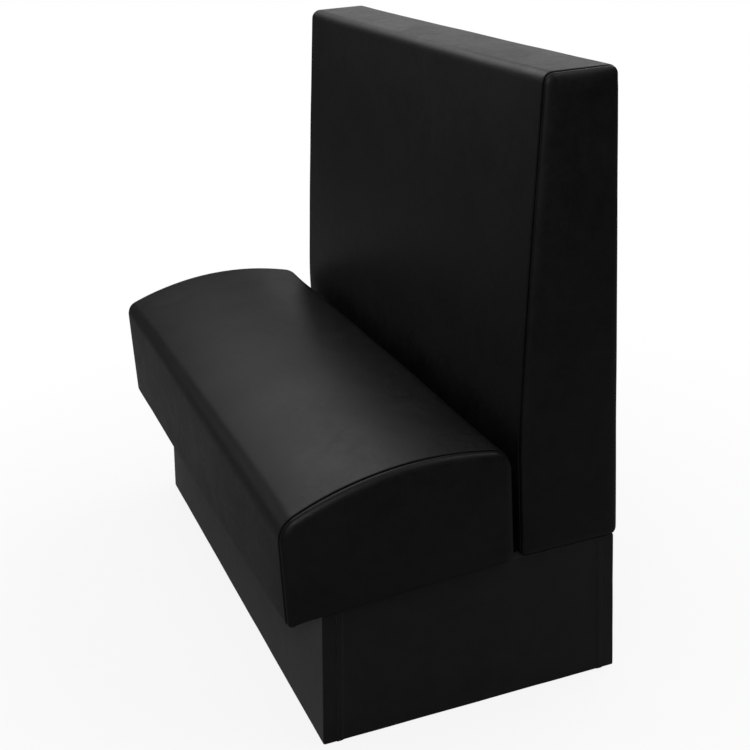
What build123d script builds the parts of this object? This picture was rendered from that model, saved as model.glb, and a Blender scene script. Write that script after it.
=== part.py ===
from build123d import *
import os
from math import atan2, cos, hypot, pi, sin, sqrt, tan

# A single restaurant booth: plinth base, lift-out sprung seat and raked upholstered back.
# Millimetres. X runs along the bench, -Y is the front, Z is up from the floor.
# The origin is on the floor, under the middle of the booth.

# Overall sizes
overall_height = 1067.0
overall_depth = 610.0
seat_length = 1160.0
seat_side_overhang = 20.0
back_side_overhang = 2.0

# Materials
board_thickness = 18.0
thin_board_thickness = 6.0
front_board_thickness = 9.0
timber_thickness = 38.0
vinyl_thickness = 1.6
cloth_thickness = 0.6
felt_thickness = 3.0

# Clearances and cutting
soft_gap = 0.3
fit_gap = 1.0
seam_gap = 0.4
cut_overrun = 20.0
tightest_corner = 1.0

# Base
base_height = 265.0
kick_recess = 51.0
kick_batter = 18.0
base_rear_recess = 6.0
bearer_height = 100.0
base_member_offset = 285.0
corner_block_leg = 60.0
corner_block_height = 150.0
cover_return = 24.0
cover_turn_under = 15.0
cover_edge_radius = 3.0
cover_top_drop = 0.6
hem_width = 9.0
glide_height = 5.0
glide_radius = 11.0
glide_edge = 1.5
glide_nail_radius = 1.3
glide_nail_length = 16.0
member_glide_offset = 215.0

# Seat
seat_back_gap = 20.0
seat_front_drop = 15.0
seat_crown_height = 490.5
seat_crown_rise = 9.0
seat_crown_setback = 265.0
seat_crown_radius = 580.0
seat_front_radius = 46.0
seat_rear_radius = 40.0
seat_front_bulge = 5.0
seat_end_roll = 13.0
seat_rail_top = 380.0
seat_front_padding_thickness = 6.4
seat_cross_rail_offset = 197.0
seat_cross_rail_depth = 64.0
locator_depth = 22.0
locator_width = 35.0
locator_lap = 45.0
locator_gap = 2.0
seat_block_height = 90.0
rail_edge_chamfer = 5.0
rest_pad_thickness = 10.0
rest_pad_width = 12.0
seat_pad_spacing = 150.0

# Sinuous springs
spring_count = 7
spring_bar_count = 12
spring_end_margin = 100.0
wire_radius = 2.0
wire_sides = 6
bend_chords = 4
spring_half_width = 25.0
clip_thickness = 1.5
clip_gap = 0.2
clip_width = 14.0
clip_plate = 9.0
clip_inset = 5.0

# Back
back_top_depth = 127.0
back_bottom_depth = 183.0
back_kink_height = 471.0
back_front_radius = 18.0
back_rear_radius = 14.0
back_edge_bulge = 1.5
back_middle_bulge = 7.0
back_end_roll = 10.0
back_foam_thickness = 40.0
back_top_padding_thickness = 15.0
back_gusset_offset = 190.0
back_turn_under = 18.0
lag_bolt_offsets = (-420.0, -100.0, 100.0, 420.0)

# Fasteners
fastener_sides = 8
screw_radius = 2.25
screw_head_radius = 4.5
screw_head_depth = 2.6
screw_length = 45.0
screw_gap = 0.1
screw_edge_distance = 48.0
bolt_radius = 4.0
bolt_length = 58.0
bolt_head_width = 13.0
bolt_head_height = 5.5
washer_radius = 12.0
washer_thickness = 2.0

# Places that follow from the sizes
base_length = seat_length - 2 * seat_side_overhang
back_length = base_length + 2 * back_side_overhang
front_y = -overall_depth / 2
rear_y = overall_depth / 2
base_rear_y = rear_y - base_rear_recess
batter = atan2(kick_batter, base_height)
base_end_x = base_length / 2 - 2 * vinyl_thickness
base_inner_x = base_end_x - board_thickness
base_panel_bottom = glide_height + vinyl_thickness
base_panel_rear_y = base_rear_y - vinyl_thickness
base_inner_rear_y = base_panel_rear_y - board_thickness
bearer_bottom = base_height - bearer_height

back_kink_y = rear_y - back_bottom_depth
back_top_front_y = rear_y - back_top_depth
rake = atan2(back_top_front_y - back_kink_y, overall_height - back_kink_height)
back_seam_x = back_length / 2 - back_end_roll
back_frame_bottom = base_height + vinyl_thickness
back_frame_inset = vinyl_thickness + back_foam_thickness
back_rear_board_y = rear_y - vinyl_thickness - soft_gap
back_inner_rear_y = back_rear_board_y - thin_board_thickness
back_rail_top = overall_height - vinyl_thickness - back_top_padding_thickness

seat_rear_y = back_kink_y - seat_back_gap
seat_seam_x = seat_length / 2 - seat_end_roll
seat_crown_y = front_y + seat_crown_setback
seat_rail_bottom = base_height + rest_pad_thickness + cloth_thickness
seat_rear_bottom = seat_rail_bottom - vinyl_thickness
seat_front_bottom = base_height - seat_front_drop
seat_bottom_slope = atan2(seat_rear_bottom - seat_front_bottom, seat_rear_y - front_y)
seat_rail_front_y = front_y + vinyl_thickness + seat_front_padding_thickness
seat_rail_rear_y = seat_rear_y - vinyl_thickness - soft_gap
seat_inner_front_y = seat_rail_front_y + board_thickness
seat_inner_rear_y = seat_rail_rear_y - board_thickness
seat_board_x = seat_seam_x - thin_board_thickness
seat_rail_x = seat_board_x - board_thickness
seat_bearer_y = (seat_inner_rear_y + seat_rail_rear_y) / 2

spring_z = seat_rail_top + clip_thickness + clip_gap + wire_radius
spring_front_y = seat_inner_front_y - clip_inset
spring_rear_y = seat_inner_rear_y + clip_inset
insulator_bottom = spring_z + wire_radius + soft_gap
foam_recess_top = insulator_bottom + felt_thickness + soft_gap

# Plain helpers


def block(low, high):
    """A board or strip between two opposite corners."""
    size = [b - a for a, b in zip(low, high)]
    return Pos(*low) * Box(*size, align=(Align.MIN, Align.MIN, Align.MIN))


def prism(points, low_x, high_x):
    """A board with an outline in the YZ plane, from one X to another."""
    outline = Polyline(*[(low_x, y, z) for y, z in points], close=True)
    return extrude(make_face(outline), amount=high_x - low_x, dir=(1, 0, 0))


def column(points, low_z, high_z):
    """A block with an outline in the XY plane, from one height to another."""
    outline = Polyline(*[(x, y, low_z) for x, y in points], close=True)
    return extrude(make_face(outline), amount=high_z - low_z, dir=(0, 0, 1))


def other_end(shape):
    """The same piece at the far end of the bench."""
    return mirror(shape, about=Plane.YZ)


def both_ends(shape):
    """One piece at each end of the bench."""
    return [shape, other_end(shape)]


def group(shapes):
    """Identical pieces that share a node, each its own solid."""
    return Compound([solid for shape in shapes for solid in shape.solids()])


def round_about(start, end, centre, x):
    """An arc at one X, from start to end round its centre, as (Y, Z) pairs."""
    radius = hypot(start[0] - centre[0], start[1] - centre[1])
    across = start[0] + end[0] - 2 * centre[0]
    upward = start[1] + end[1] - 2 * centre[1]
    reach = radius / hypot(across, upward)
    middle = (centre[0] + across * reach, centre[1] + upward * reach)
    return ThreePointArc((x, *start), (x, *middle), (x, *end))


def straight(start, end, x):
    """A straight edge at one X, between two (Y, Z) pairs."""
    return Line((x, *start), (x, *end))


def roll_steps(roll, seam_x, inset):
    """X places and insets of the sections that round a soft end from its seam to its face."""
    depth = roll - inset
    quarter = pi / 2
    shares = (0, 0.3, 0.6, 0.82, 1)
    return [(seam_x + depth * sin(quarter * s), inset + depth * (1 - cos(quarter * s))) for s in shares]


def rod(radius, length):
    """A small round bar or hole, standing on Z = 0, drawn with a few flat sides."""
    return extrude(RegularPolygon(radius, fastener_sides), amount=length)


def countersunk(radius, head_radius, head_depth, length):
    """A shank with a tapered head, its face on Z = 0, pointing up."""
    face = RegularPolygon(head_radius, fastener_sides)
    neck = Pos(0, 0, head_depth) * RegularPolygon(radius, fastener_sides)
    return loft([face, neck], ruled=True) + rod(radius, length)


def screw(origin, direction):
    """A countersunk screw with its head's face at the origin, driven along the direction."""
    shape = countersunk(screw_radius, screw_head_radius, screw_head_depth, screw_length)
    return Plane(origin=origin, z_dir=direction) * shape


def screw_hole(origin, direction):
    """The countersunk hole that a screw sits in."""
    shape = countersunk(
        screw_radius + screw_gap,
        screw_head_radius + screw_gap,
        screw_head_depth + screw_gap,
        screw_length + screw_gap,
    )
    return Plane(origin=origin, z_dir=direction) * shape


def drilled(shape, places):
    """A board with the holes of all the screws at these places."""
    for origin, direction in places:
        shape -= screw_hole(origin, direction)
    return shape


# Outline of the seat's cross-section


def seat_bottom_z(y, inset):
    """Height of the seat's lower edge, which hangs lower towards the front."""
    return seat_front_bottom + (y - front_y) * tan(seat_bottom_slope) + inset / cos(seat_bottom_slope)


def seat_section(x, inset, crown):
    """The seat's section at one X, drawn in by inset; crown is 0 at the seams and 1 in the middle."""
    front = front_y + seat_front_bulge * (1 - crown) + inset
    rear = seat_rear_y - inset
    radius = seat_crown_radius - inset
    centre = (seat_crown_y, seat_crown_height - seat_crown_radius + seat_crown_rise * crown)
    front_round = max(seat_front_radius - inset, tightest_corner)
    rear_round = max(seat_rear_radius - inset, tightest_corner)
    front_reach = radius - front_round
    rear_reach = radius - rear_round
    front_y_centre = front + front_round
    rear_y_centre = rear - rear_round
    front_centre = (front_y_centre, centre[1] + sqrt(front_reach**2 - (front_y_centre - centre[0]) ** 2))
    rear_centre = (rear_y_centre, centre[1] + sqrt(rear_reach**2 - (rear_y_centre - centre[0]) ** 2))
    crown_start = [c + (f - c) * radius / front_reach for c, f in zip(centre, front_centre)]
    crown_end = [c + (r - c) * radius / rear_reach for c, r in zip(centre, rear_centre)]
    front_low = (front, seat_bottom_z(front, inset))
    front_high = (front, front_centre[1])
    rear_high = (rear, rear_centre[1])
    rear_low = (rear, seat_bottom_z(rear, inset))
    edges = [
        straight(front_low, front_high, x),
        round_about(front_high, crown_start, front_centre, x),
        round_about(crown_start, crown_end, centre, x),
        round_about(crown_end, rear_high, rear_centre, x),
        straight(rear_high, rear_low, x),
        straight(rear_low, front_low, x),
    ]
    return make_face(Wire(edges))


def seat_middle(inset):
    """The seat between its two end seams, fuller in the middle of its length."""
    seam_x = seat_seam_x - seam_gap
    sections = [seat_section(-seam_x, inset, 0), seat_section(0, inset, 1), seat_section(seam_x, inset, 0)]
    return loft(sections)


def seat_end(inset):
    """The rolled right-hand end of the seat, outside its seam."""
    steps = roll_steps(seat_end_roll, seat_seam_x, inset)
    return loft([seat_section(x, draw_in, 0) for x, draw_in in steps], ruled=True)


# Outline of the back's cross-section


def raked_y(z, inset):
    """Depth of the back's raked front, drawn in by inset, at one height."""
    return back_kink_y + (z - back_kink_height) * tan(rake) + inset / cos(rake)


def kink(inset):
    """The corner between the raked and the upright front, drawn in by inset."""
    return (back_kink_y + inset, back_kink_height - inset * tan(rake / 2))


def back_section(x, inset, bulge):
    """The back's section at one X, drawn in by inset, its raked front fuller by bulge."""
    top = overall_height - inset
    rear = rear_y - inset
    bottom = base_height + inset
    front_round = max(back_front_radius - inset, tightest_corner)
    rear_round = max(back_rear_radius - inset, tightest_corner)
    front_centre = (raked_y(top - front_round, inset + front_round), top - front_round)
    rear_centre = (rear - rear_round, top - rear_round)
    rake_end = (front_centre[0] - front_round * cos(rake), front_centre[1] + front_round * sin(rake))
    top_start = (front_centre[0], top)
    top_end = (rear_centre[0], top)
    rear_high = (rear, rear_centre[1])
    rear_low = (rear, bottom)
    front_low = (kink(inset)[0], bottom)
    rake_middle = [(a + b) / 2 for a, b in zip(kink(inset), rake_end)]
    fullest = (rake_middle[0] - bulge * cos(rake), rake_middle[1] + bulge * sin(rake))
    edges = [
        straight(front_low, kink(inset), x),
        ThreePointArc((x, *kink(inset)), (x, *fullest), (x, *rake_end)),
        round_about(rake_end, top_start, front_centre, x),
        straight(top_start, top_end, x),
        round_about(top_end, rear_high, rear_centre, x),
        straight(rear_high, rear_low, x),
        straight(rear_low, front_low, x),
    ]
    return make_face(Wire(edges))


def back_middle(inset):
    """The back between its two end seams."""
    seam_x = back_seam_x - seam_gap
    sections = [
        back_section(-seam_x, inset, back_edge_bulge),
        back_section(0, inset, back_middle_bulge),
        back_section(seam_x, inset, back_edge_bulge),
    ]
    return loft(sections)


def back_end(inset):
    """The rolled right-hand end of the back, outside its seam."""
    steps = roll_steps(back_end_roll, back_seam_x, inset)
    return loft([back_section(x, draw_in, back_edge_bulge) for x, draw_in in steps], ruled=True)


# Base: the leaning front


def kick_y(z, inset):
    """Depth of the base's front, which leans back towards its top, drawn in by inset."""
    return front_y + kick_recess + z * tan(batter) + inset / cos(batter)


def behind_kick(inset, low_z, high_z):
    """The side view of what lies between the leaning front, drawn in by inset, and the rear panel."""
    return [
        (kick_y(low_z, inset), low_z),
        (base_panel_rear_y, low_z),
        (base_panel_rear_y, high_z),
        (kick_y(high_z, inset), high_z),
    ]


def leaning_strip(near, far, low_z, high_z):
    """The side view of a strip along the leaning front, between two insets."""
    return [
        (kick_y(low_z, near), low_z),
        (kick_y(low_z, far), low_z),
        (kick_y(high_z, far), high_z),
        (kick_y(high_z, near), high_z),
    ]


# Base: panels and bearers


def base_screw_places():
    """Screws through the end panels into the edges of the front and rear panels."""
    places = []
    for side in (-1, 1):
        for z in (base_panel_bottom + screw_edge_distance, base_height - screw_edge_distance):
            front_middle_y = kick_y(z, vinyl_thickness + board_thickness / 2)
            for y in (front_middle_y, base_panel_rear_y - board_thickness / 2):
                places.append(((side * base_end_x, y, z), (-side, 0, 0)))
    return places


def base_front_panel():
    """Plywood kick panel under the front of the seat, leaning back at the top."""
    inner = vinyl_thickness + board_thickness
    outline = leaning_strip(vinyl_thickness, inner, base_panel_bottom, base_height)
    return drilled(prism(outline, -base_inner_x, base_inner_x), base_screw_places())


def base_rear_panel():
    """Plywood panel at the back of the plinth."""
    low = (-base_inner_x, base_inner_rear_y, base_panel_bottom)
    high = (base_inner_x, base_panel_rear_y, base_height)
    return drilled(block(low, high), base_screw_places())


def base_end_panel():
    """Plywood panel that closes the right-hand end of the plinth."""
    outline = behind_kick(vinyl_thickness, base_panel_bottom, base_height)
    return drilled(prism(outline, base_inner_x, base_end_x), base_screw_places())


def base_cross_members():
    """Boards on edge from front to rear that carry the bearers."""
    outline = behind_kick(vinyl_thickness + board_thickness, glide_height, bearer_bottom)
    half = board_thickness / 2
    member = prism(outline, base_member_offset - half, base_member_offset + half)
    member -= block((0, base_inner_rear_y, 0), (base_length, rear_y, base_height))
    return group([cut_for_nails(half) for half in both_ends(member)])


def bearer(low_y, high_y):
    """A board on edge from end to end, on top of the cross members."""
    return block((-base_inner_x, low_y, bearer_bottom), (base_inner_x, high_y, base_height))


def base_seat_bearer():
    """The bearer under the rear rail of the seat."""
    return bearer(seat_bearer_y - board_thickness / 2, seat_bearer_y + board_thickness / 2)


def base_back_bearer():
    """The timber under the front of the back's frame, drilled for the lag bolts."""
    low_y = kink(back_frame_inset)[0]
    return bolted(bearer(low_y, low_y + timber_thickness))


def base_rear_bearer():
    """The timber along the rear panel, drilled for the lag bolts."""
    return bolted(bearer(base_inner_rear_y - timber_thickness, base_inner_rear_y))


def base_corner_blocks():
    """Three-cornered glue blocks in the corners of the plinth, on the glides."""
    top = glide_height + corner_block_height
    inside = behind_kick(vinyl_thickness + board_thickness, glide_height, top)
    room = prism(inside, -base_inner_x, base_inner_x)
    blocks = []
    for corner_y, inward in base_inner_corners():
        outline = [
            (base_inner_x, corner_y),
            (base_inner_x, corner_y + inward * corner_block_leg),
            (base_inner_x - corner_block_leg, corner_y),
        ]
        blocks += both_ends(room & column(outline, glide_height, top))
    return group([cut_for_nails(piece) for piece in blocks])


def base_inner_corners():
    """Depths of the plinth's inner corners at the floor, each with its direction inwards."""
    return [(kick_y(glide_height, vinyl_thickness + board_thickness), 1), (base_inner_rear_y, -1)]


def glide_places():
    """Centres of the glides: one under each corner block, two under each cross member."""
    inset = corner_block_leg * (1 - 1 / sqrt(2))
    places = []
    for side in (-1, 1):
        for corner_y, inward in base_inner_corners():
            places.append((side * (base_inner_x - inset), corner_y + inward * inset))
        for y in (-member_glide_offset, member_glide_offset):
            places.append((side * base_member_offset, y))
    return places


def glide(x, y):
    """A round nylon glide with its nail, standing on the floor."""
    foot = rod(glide_radius, glide_height)
    foot = chamfer(foot.edges().group_by(Axis.Z)[0], glide_edge)
    nail = Pos(0, 0, glide_height) * rod(glide_nail_radius, glide_nail_length)
    return Pos(x, y, 0) * (foot + nail)


def cut_for_nails(shape):
    """A base board with the holes of the glide nails that enter it."""
    for x, y in glide_places():
        hole = rod(glide_nail_radius + screw_gap, glide_nail_length + screw_gap)
        shape -= Pos(x, y, glide_height) * hole
    return shape


def base_glides():
    """All the glides."""
    return group([glide(x, y) for x, y in glide_places()])


# Base: vinyl covers


def rounded_corners(wrap, outward):
    """A base wrap with its two upright outer corners rounded."""
    upright = [edge for edge in wrap.edges() if edge.length > base_height / 2]
    reach = max(abs(edge.center().X) for edge in upright)
    outer = [edge for edge in upright if abs(edge.center().X) > reach - seam_gap]
    foremost = max(outward * edge.center().Y for edge in outer)
    corners = [edge for edge in outer if outward * edge.center().Y > foremost - seam_gap]
    return fillet(corners, cover_edge_radius)


def base_front_cover():
    """The vinyl on the kick panel, turned round both ends and under the lower edge."""
    top = base_height - cover_top_drop
    side_x = base_end_x + vinyl_thickness
    sheet = prism(leaning_strip(0, vinyl_thickness, glide_height, top), -side_x, side_x)
    lower_edge = leaning_strip(0, cover_turn_under, glide_height, base_panel_bottom)
    turn_under = prism(lower_edge, -base_end_x, base_end_x)
    end = prism(leaning_strip(0, cover_return, glide_height, top), base_end_x, side_x)
    return rounded_corners(sheet + turn_under + end + other_end(end), -1)


def base_rear_cover():
    """The vinyl on the rear panel, turned round both ends and under the lower edge."""
    top = base_height - cover_top_drop
    side_x = base_end_x + vinyl_thickness
    sheet = block((-side_x, base_panel_rear_y, glide_height), (side_x, base_rear_y, top))
    turn_under = block(
        (-base_end_x, base_rear_y - cover_turn_under, glide_height),
        (base_end_x, base_rear_y, base_panel_bottom),
    )
    end = block((base_end_x, base_rear_y - cover_return, glide_height), (side_x, base_rear_y, top))
    return rounded_corners(sheet + turn_under + end + other_end(end), 1)


def base_end_cover():
    """The vinyl on the right-hand end, with a folded hem down its front and rear edges."""
    top = base_height - cover_top_drop
    low = cover_return + seam_gap
    high_y = base_rear_y - cover_return - seam_gap
    side_x = base_end_x + vinyl_thickness
    hem_x = side_x + vinyl_thickness
    behind = block((0, high_y, 0), (base_length, rear_y, base_height))
    sheet = prism(behind_kick(low, glide_height, top), base_end_x, side_x) - behind
    hem = prism(leaning_strip(low, low + hem_width, glide_height, top), side_x, hem_x)
    far_hem = block((side_x, high_y - hem_width, glide_height), (hem_x, high_y, top))
    lower_edge = behind_kick(low, glide_height, base_panel_bottom)
    turn_under = prism(lower_edge, base_end_x - cover_turn_under, base_end_x) - behind
    return sheet + hem + far_hem + turn_under


# Back: frame


def top_screw_places():
    """Screws down through the top rail into each gusset."""
    middle_y = (raked_y(back_rail_top, back_frame_inset + front_board_thickness) + back_inner_rear_y) / 2
    gusset_x = back_seam_x - board_thickness / 2
    places = []
    for x in (-gusset_x, -back_gusset_offset, back_gusset_offset, gusset_x):
        places.append(((x, middle_y, back_rail_top), (0, 0, -1)))
    return places


def gusset_outline():
    """The wedge of a gusset, between the front and rear boards."""
    front_inset = back_frame_inset + front_board_thickness
    top = back_rail_top - board_thickness
    corner = kink(front_inset)
    return [
        (corner[0], back_frame_bottom),
        corner,
        (raked_y(top, front_inset), top),
        (back_inner_rear_y, top),
        (back_inner_rear_y, back_frame_bottom),
    ]


def back_end_gusset():
    """The end frame of the back at the right-hand end."""
    gusset = prism(gusset_outline(), back_seam_x - board_thickness, back_seam_x)
    return drilled(gusset, top_screw_places())


def back_inner_gussets():
    """Two gussets between the ends, standing on the bottom rail."""
    half = board_thickness / 2
    gusset = prism(gusset_outline(), back_gusset_offset - half, back_gusset_offset + half)
    gusset -= block(
        (back_gusset_offset - board_thickness, front_y, back_frame_bottom - cut_overrun),
        (back_gusset_offset + board_thickness, rear_y, back_frame_bottom + board_thickness),
    )
    gusset = drilled(gusset, top_screw_places())
    return group(both_ends(gusset))


def back_bottom_rail():
    """The board that lies on the base and takes the lag bolts."""
    low_y = kink(back_frame_inset + front_board_thickness)[0]
    inner_x = back_seam_x - board_thickness
    rail = block(
        (-inner_x, low_y, back_frame_bottom),
        (inner_x, back_inner_rear_y, back_frame_bottom + board_thickness),
    )
    return bolted(rail)


def back_top_rail():
    """The board along the top, over the gussets, its front edge cut to the rake."""
    low = back_rail_top - board_thickness
    front_inset = back_frame_inset + front_board_thickness
    outline = [
        (raked_y(low, front_inset), low),
        (raked_y(back_rail_top, front_inset), back_rail_top),
        (back_inner_rear_y, back_rail_top),
        (back_inner_rear_y, low),
    ]
    return drilled(prism(outline, -back_seam_x, back_seam_x), top_screw_places())


def back_front_panel():
    """The raked board behind the foam."""
    deep = back_frame_inset + front_board_thickness
    outline = [
        kink(back_frame_inset),
        (raked_y(back_rail_top, back_frame_inset), back_rail_top),
        (raked_y(back_rail_top, deep), back_rail_top),
        kink(deep),
    ]
    return prism(outline, -back_seam_x, back_seam_x)


def back_lower_panel():
    """The upright board below the rake, down to the base."""
    outer = kink(back_frame_inset)
    inner = kink(back_frame_inset + front_board_thickness)
    outline = [(outer[0], back_frame_bottom), outer, inner, (inner[0], back_frame_bottom)]
    return prism(outline, -back_seam_x, back_seam_x)


def back_rear_panel():
    """The thin board that closes the rear of the back."""
    return block(
        (-back_seam_x, back_inner_rear_y, back_frame_bottom),
        (back_seam_x, back_rear_board_y, back_rail_top),
    )


# Back: padding and covers


def back_foam():
    """The foam on the raked front and on the upright board below it."""
    corner = kink(back_frame_inset)
    region = [
        (front_y, back_frame_bottom),
        (corner[0], back_frame_bottom),
        corner,
        (raked_y(back_rail_top, back_frame_inset), back_rail_top),
        (front_y, back_rail_top),
    ]
    return back_middle(vinyl_thickness + soft_gap) & prism(region, -back_length, back_length)


def back_top_padding():
    """The softer strip over the top rail, behind the foam's top edge."""
    region = block((-back_length, front_y, back_rail_top), (back_length, rear_y, overall_height))
    return back_middle(vinyl_thickness + soft_gap) & region


def back_end_padding():
    """The padding on the right-hand end frame."""
    return back_end(vinyl_thickness + soft_gap)


def opened_below(shell, margin):
    """A back cover with the middle of its underside cut away, a turned-under edge left."""
    opening = block(
        (-back_seam_x + margin, back_kink_y + margin, base_height - cut_overrun),
        (back_seam_x - margin, rear_y - margin, back_frame_bottom + soft_gap),
    )
    return shell - opening


def back_cover():
    """The vinyl over the front and the top, down to the base in front."""
    shell = back_middle(0) - back_middle(vinyl_thickness)
    outside_back = block(
        (-back_length, rear_y - back_turn_under, base_height - cut_overrun),
        (back_length, rear_y + cut_overrun, overall_height - back_rear_radius),
    )
    return opened_below(shell, back_turn_under) - outside_back


def back_rear_cover():
    """The flat vinyl of the outside back, hung under the top cover's edge and turned under the frame."""
    seam_x = back_seam_x - seam_gap
    top = overall_height - back_rear_radius - seam_gap
    sheet = block((-seam_x, rear_y - vinyl_thickness, base_height), (seam_x, rear_y, top))
    turn_under = block(
        (-seam_x, rear_y - back_turn_under + seam_gap, base_height),
        (seam_x, rear_y, back_frame_bottom),
    )
    return sheet + turn_under


def back_end_cover():
    """The vinyl of the right-hand end of the back."""
    return back_end(0) - back_end(vinyl_thickness)


# Back: bolts that hold it down


def bolt_places():
    """Tops of the washers on the bottom rail, over the two timbers."""
    front_bolt_y = kink(back_frame_inset)[0] + timber_thickness / 2
    rear_bolt_y = base_inner_rear_y - timber_thickness / 2
    front_bolt_y = max(front_bolt_y, kink(back_frame_inset + front_board_thickness)[0] + washer_radius)
    top = back_frame_bottom + board_thickness + washer_thickness
    return [(x, y, top) for x in lag_bolt_offsets for y in (front_bolt_y, rear_bolt_y)]


def bolted(shape):
    """A board with the clearance holes of the lag bolts."""
    depth = bolt_length + screw_gap
    hole = rod(bolt_radius + screw_gap, depth)
    for x, y, top in bolt_places():
        shape -= Pos(x, y, top - depth) * hole
    return shape


def back_lag_bolts():
    """Hexagon-headed lag bolts down into the timbers of the base."""
    flats_to_corners = 1 / sqrt(3)
    head = extrude(RegularPolygon(bolt_head_width * flats_to_corners, 6), amount=bolt_head_height)
    shank = Pos(0, 0, -bolt_length) * rod(bolt_radius, bolt_length)
    bolt = head + shank
    return group([Pos(*place) * bolt for place in bolt_places()])


def back_bolt_washers():
    """A washer under each bolt head."""
    ring = rod(washer_radius, washer_thickness) - rod(bolt_radius + screw_gap, washer_thickness)
    ring = Pos(0, 0, -washer_thickness) * ring
    return group([Pos(*place) * ring for place in bolt_places()])


# Seat: frame


def seat_screw_places():
    """Screws through the front and rear rails into the ends of the side rails."""
    x = seat_rail_x + board_thickness / 2
    places = []
    for side in (-1, 1):
        for z in (seat_rail_bottom + screw_edge_distance / 2, seat_rail_top - screw_edge_distance / 2):
            places.append(((side * x, seat_rail_front_y, z), (0, 1, 0)))
            places.append(((side * x, seat_rail_rear_y, z), (0, -1, 0)))
    return places


def seat_front_rail():
    """The deep front rail, which hangs in front of the base."""
    low_z = seat_bottom_z(seat_inner_front_y, vinyl_thickness + soft_gap)
    rail = block(
        (-seat_board_x, seat_rail_front_y, low_z),
        (seat_board_x, seat_inner_front_y, seat_rail_top),
    )
    return drilled(rail, seat_screw_places())


def seat_rear_rail():
    """The rear rail, over the seat bearer."""
    rail = block(
        (-seat_board_x, seat_inner_rear_y, seat_rail_bottom),
        (seat_board_x, seat_rail_rear_y, seat_rail_top),
    )
    return drilled(rail, seat_screw_places())


def seat_side_rail():
    """The right-hand side rail, over the base's end panel."""
    rail = block(
        (seat_rail_x, seat_inner_front_y, seat_rail_bottom),
        (seat_board_x, seat_inner_rear_y, seat_rail_top),
    )
    return drilled(rail, seat_screw_places())


def seat_end_board():
    """The thin board outside the side rail, its lower edge sloped and hanging past the base."""
    inset = vinyl_thickness + soft_gap
    outline = [
        (seat_rail_front_y, seat_bottom_z(seat_rail_front_y, inset) + rail_edge_chamfer),
        (seat_rail_front_y + rail_edge_chamfer, seat_bottom_z(seat_rail_front_y + rail_edge_chamfer, inset)),
        (seat_rail_rear_y, seat_bottom_z(seat_rail_rear_y, inset)),
        (seat_rail_rear_y, seat_rail_top),
        (seat_rail_front_y, seat_rail_top),
    ]
    return prism(outline, seat_board_x, seat_seam_x)


def seat_cross_rails():
    """Two rails across the frame, from its front rail to its rear rail."""
    rail = block(
        (seat_cross_rail_offset - board_thickness, seat_inner_front_y, seat_rail_bottom),
        (seat_cross_rail_offset, seat_inner_rear_y, seat_rail_bottom + seat_cross_rail_depth),
    )
    return group(both_ends(rail))


def locator_spans():
    """Where the locators lie from front to rear, just inside the base's panel and bearer."""
    front_low = kick_y(base_height, vinyl_thickness + board_thickness) + locator_gap
    rear_high = seat_bearer_y - board_thickness / 2 - locator_gap
    return [(front_low, front_low + locator_width), (rear_high - locator_width, rear_high)]


def seat_locators():
    """Blocks beside the cross rails that drop inside the base and keep the seat in place."""
    blocks = []
    for low_y, high_y in locator_spans():
        locator = block(
            (seat_cross_rail_offset, low_y, base_height - locator_depth),
            (seat_cross_rail_offset + board_thickness, high_y, seat_rail_bottom + locator_lap),
        )
        blocks += both_ends(locator)
    return group(blocks)


def seat_corner_blocks():
    """Three-cornered blocks in the corners of the seat's frame."""
    blocks = []
    for corner_y, inward in ((seat_inner_front_y, 1), (seat_inner_rear_y, -1)):
        outline = [
            (seat_rail_x, corner_y),
            (seat_rail_x, corner_y + inward * corner_block_leg),
            (seat_rail_x - corner_block_leg, corner_y),
        ]
        blocks += both_ends(column(outline, seat_rail_bottom, seat_rail_bottom + seat_block_height))
    return group(blocks)


def seat_dust_cover():
    """The cloth under the frame, slotted round the locators."""
    low_z = seat_rail_bottom - cloth_thickness
    sheet = block(
        (-seat_board_x + fit_gap, seat_inner_front_y, low_z),
        (seat_board_x - fit_gap, seat_rail_rear_y - fit_gap, seat_rail_bottom),
    )
    for low_y, high_y in locator_spans():
        slot = block(
            (seat_cross_rail_offset - fit_gap, low_y - fit_gap, low_z - cut_overrun),
            (seat_cross_rail_offset + board_thickness + fit_gap, high_y + fit_gap, seat_rail_bottom),
        )
        sheet -= slot
        sheet -= other_end(slot)
    return sheet


def seat_rest_pads():
    """Felt pads under the frame, where it meets the base's panels and bearer."""
    half = rest_pad_width / 2
    side_x = (seat_rail_x + base_end_x) / 2
    front_pad_y = kick_y(base_height, vinyl_thickness + board_thickness / 2)
    places = [(side_x, y) for y in (-seat_pad_spacing, 0)]
    places += [(side_x, front_pad_y), (side_x, seat_bearer_y)]
    cross_x = seat_cross_rail_offset - board_thickness / 2
    places += [(cross_x, front_pad_y), (cross_x, seat_bearer_y)]
    pads = []
    for x, y in places:
        pad = block(
            (x - half, y - half, base_height),
            (x + half, y + half, base_height + rest_pad_thickness),
        )
        pads += both_ends(pad)
    return group(pads)


# Seat: sinuous springs


def spring_places():
    """Even places along the bench, clear of the end rails."""
    span = 2 * (seat_rail_x - spring_end_margin)
    return [-span / 2 + span * i / (spring_count - 1) for i in range(spring_count)]


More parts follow.
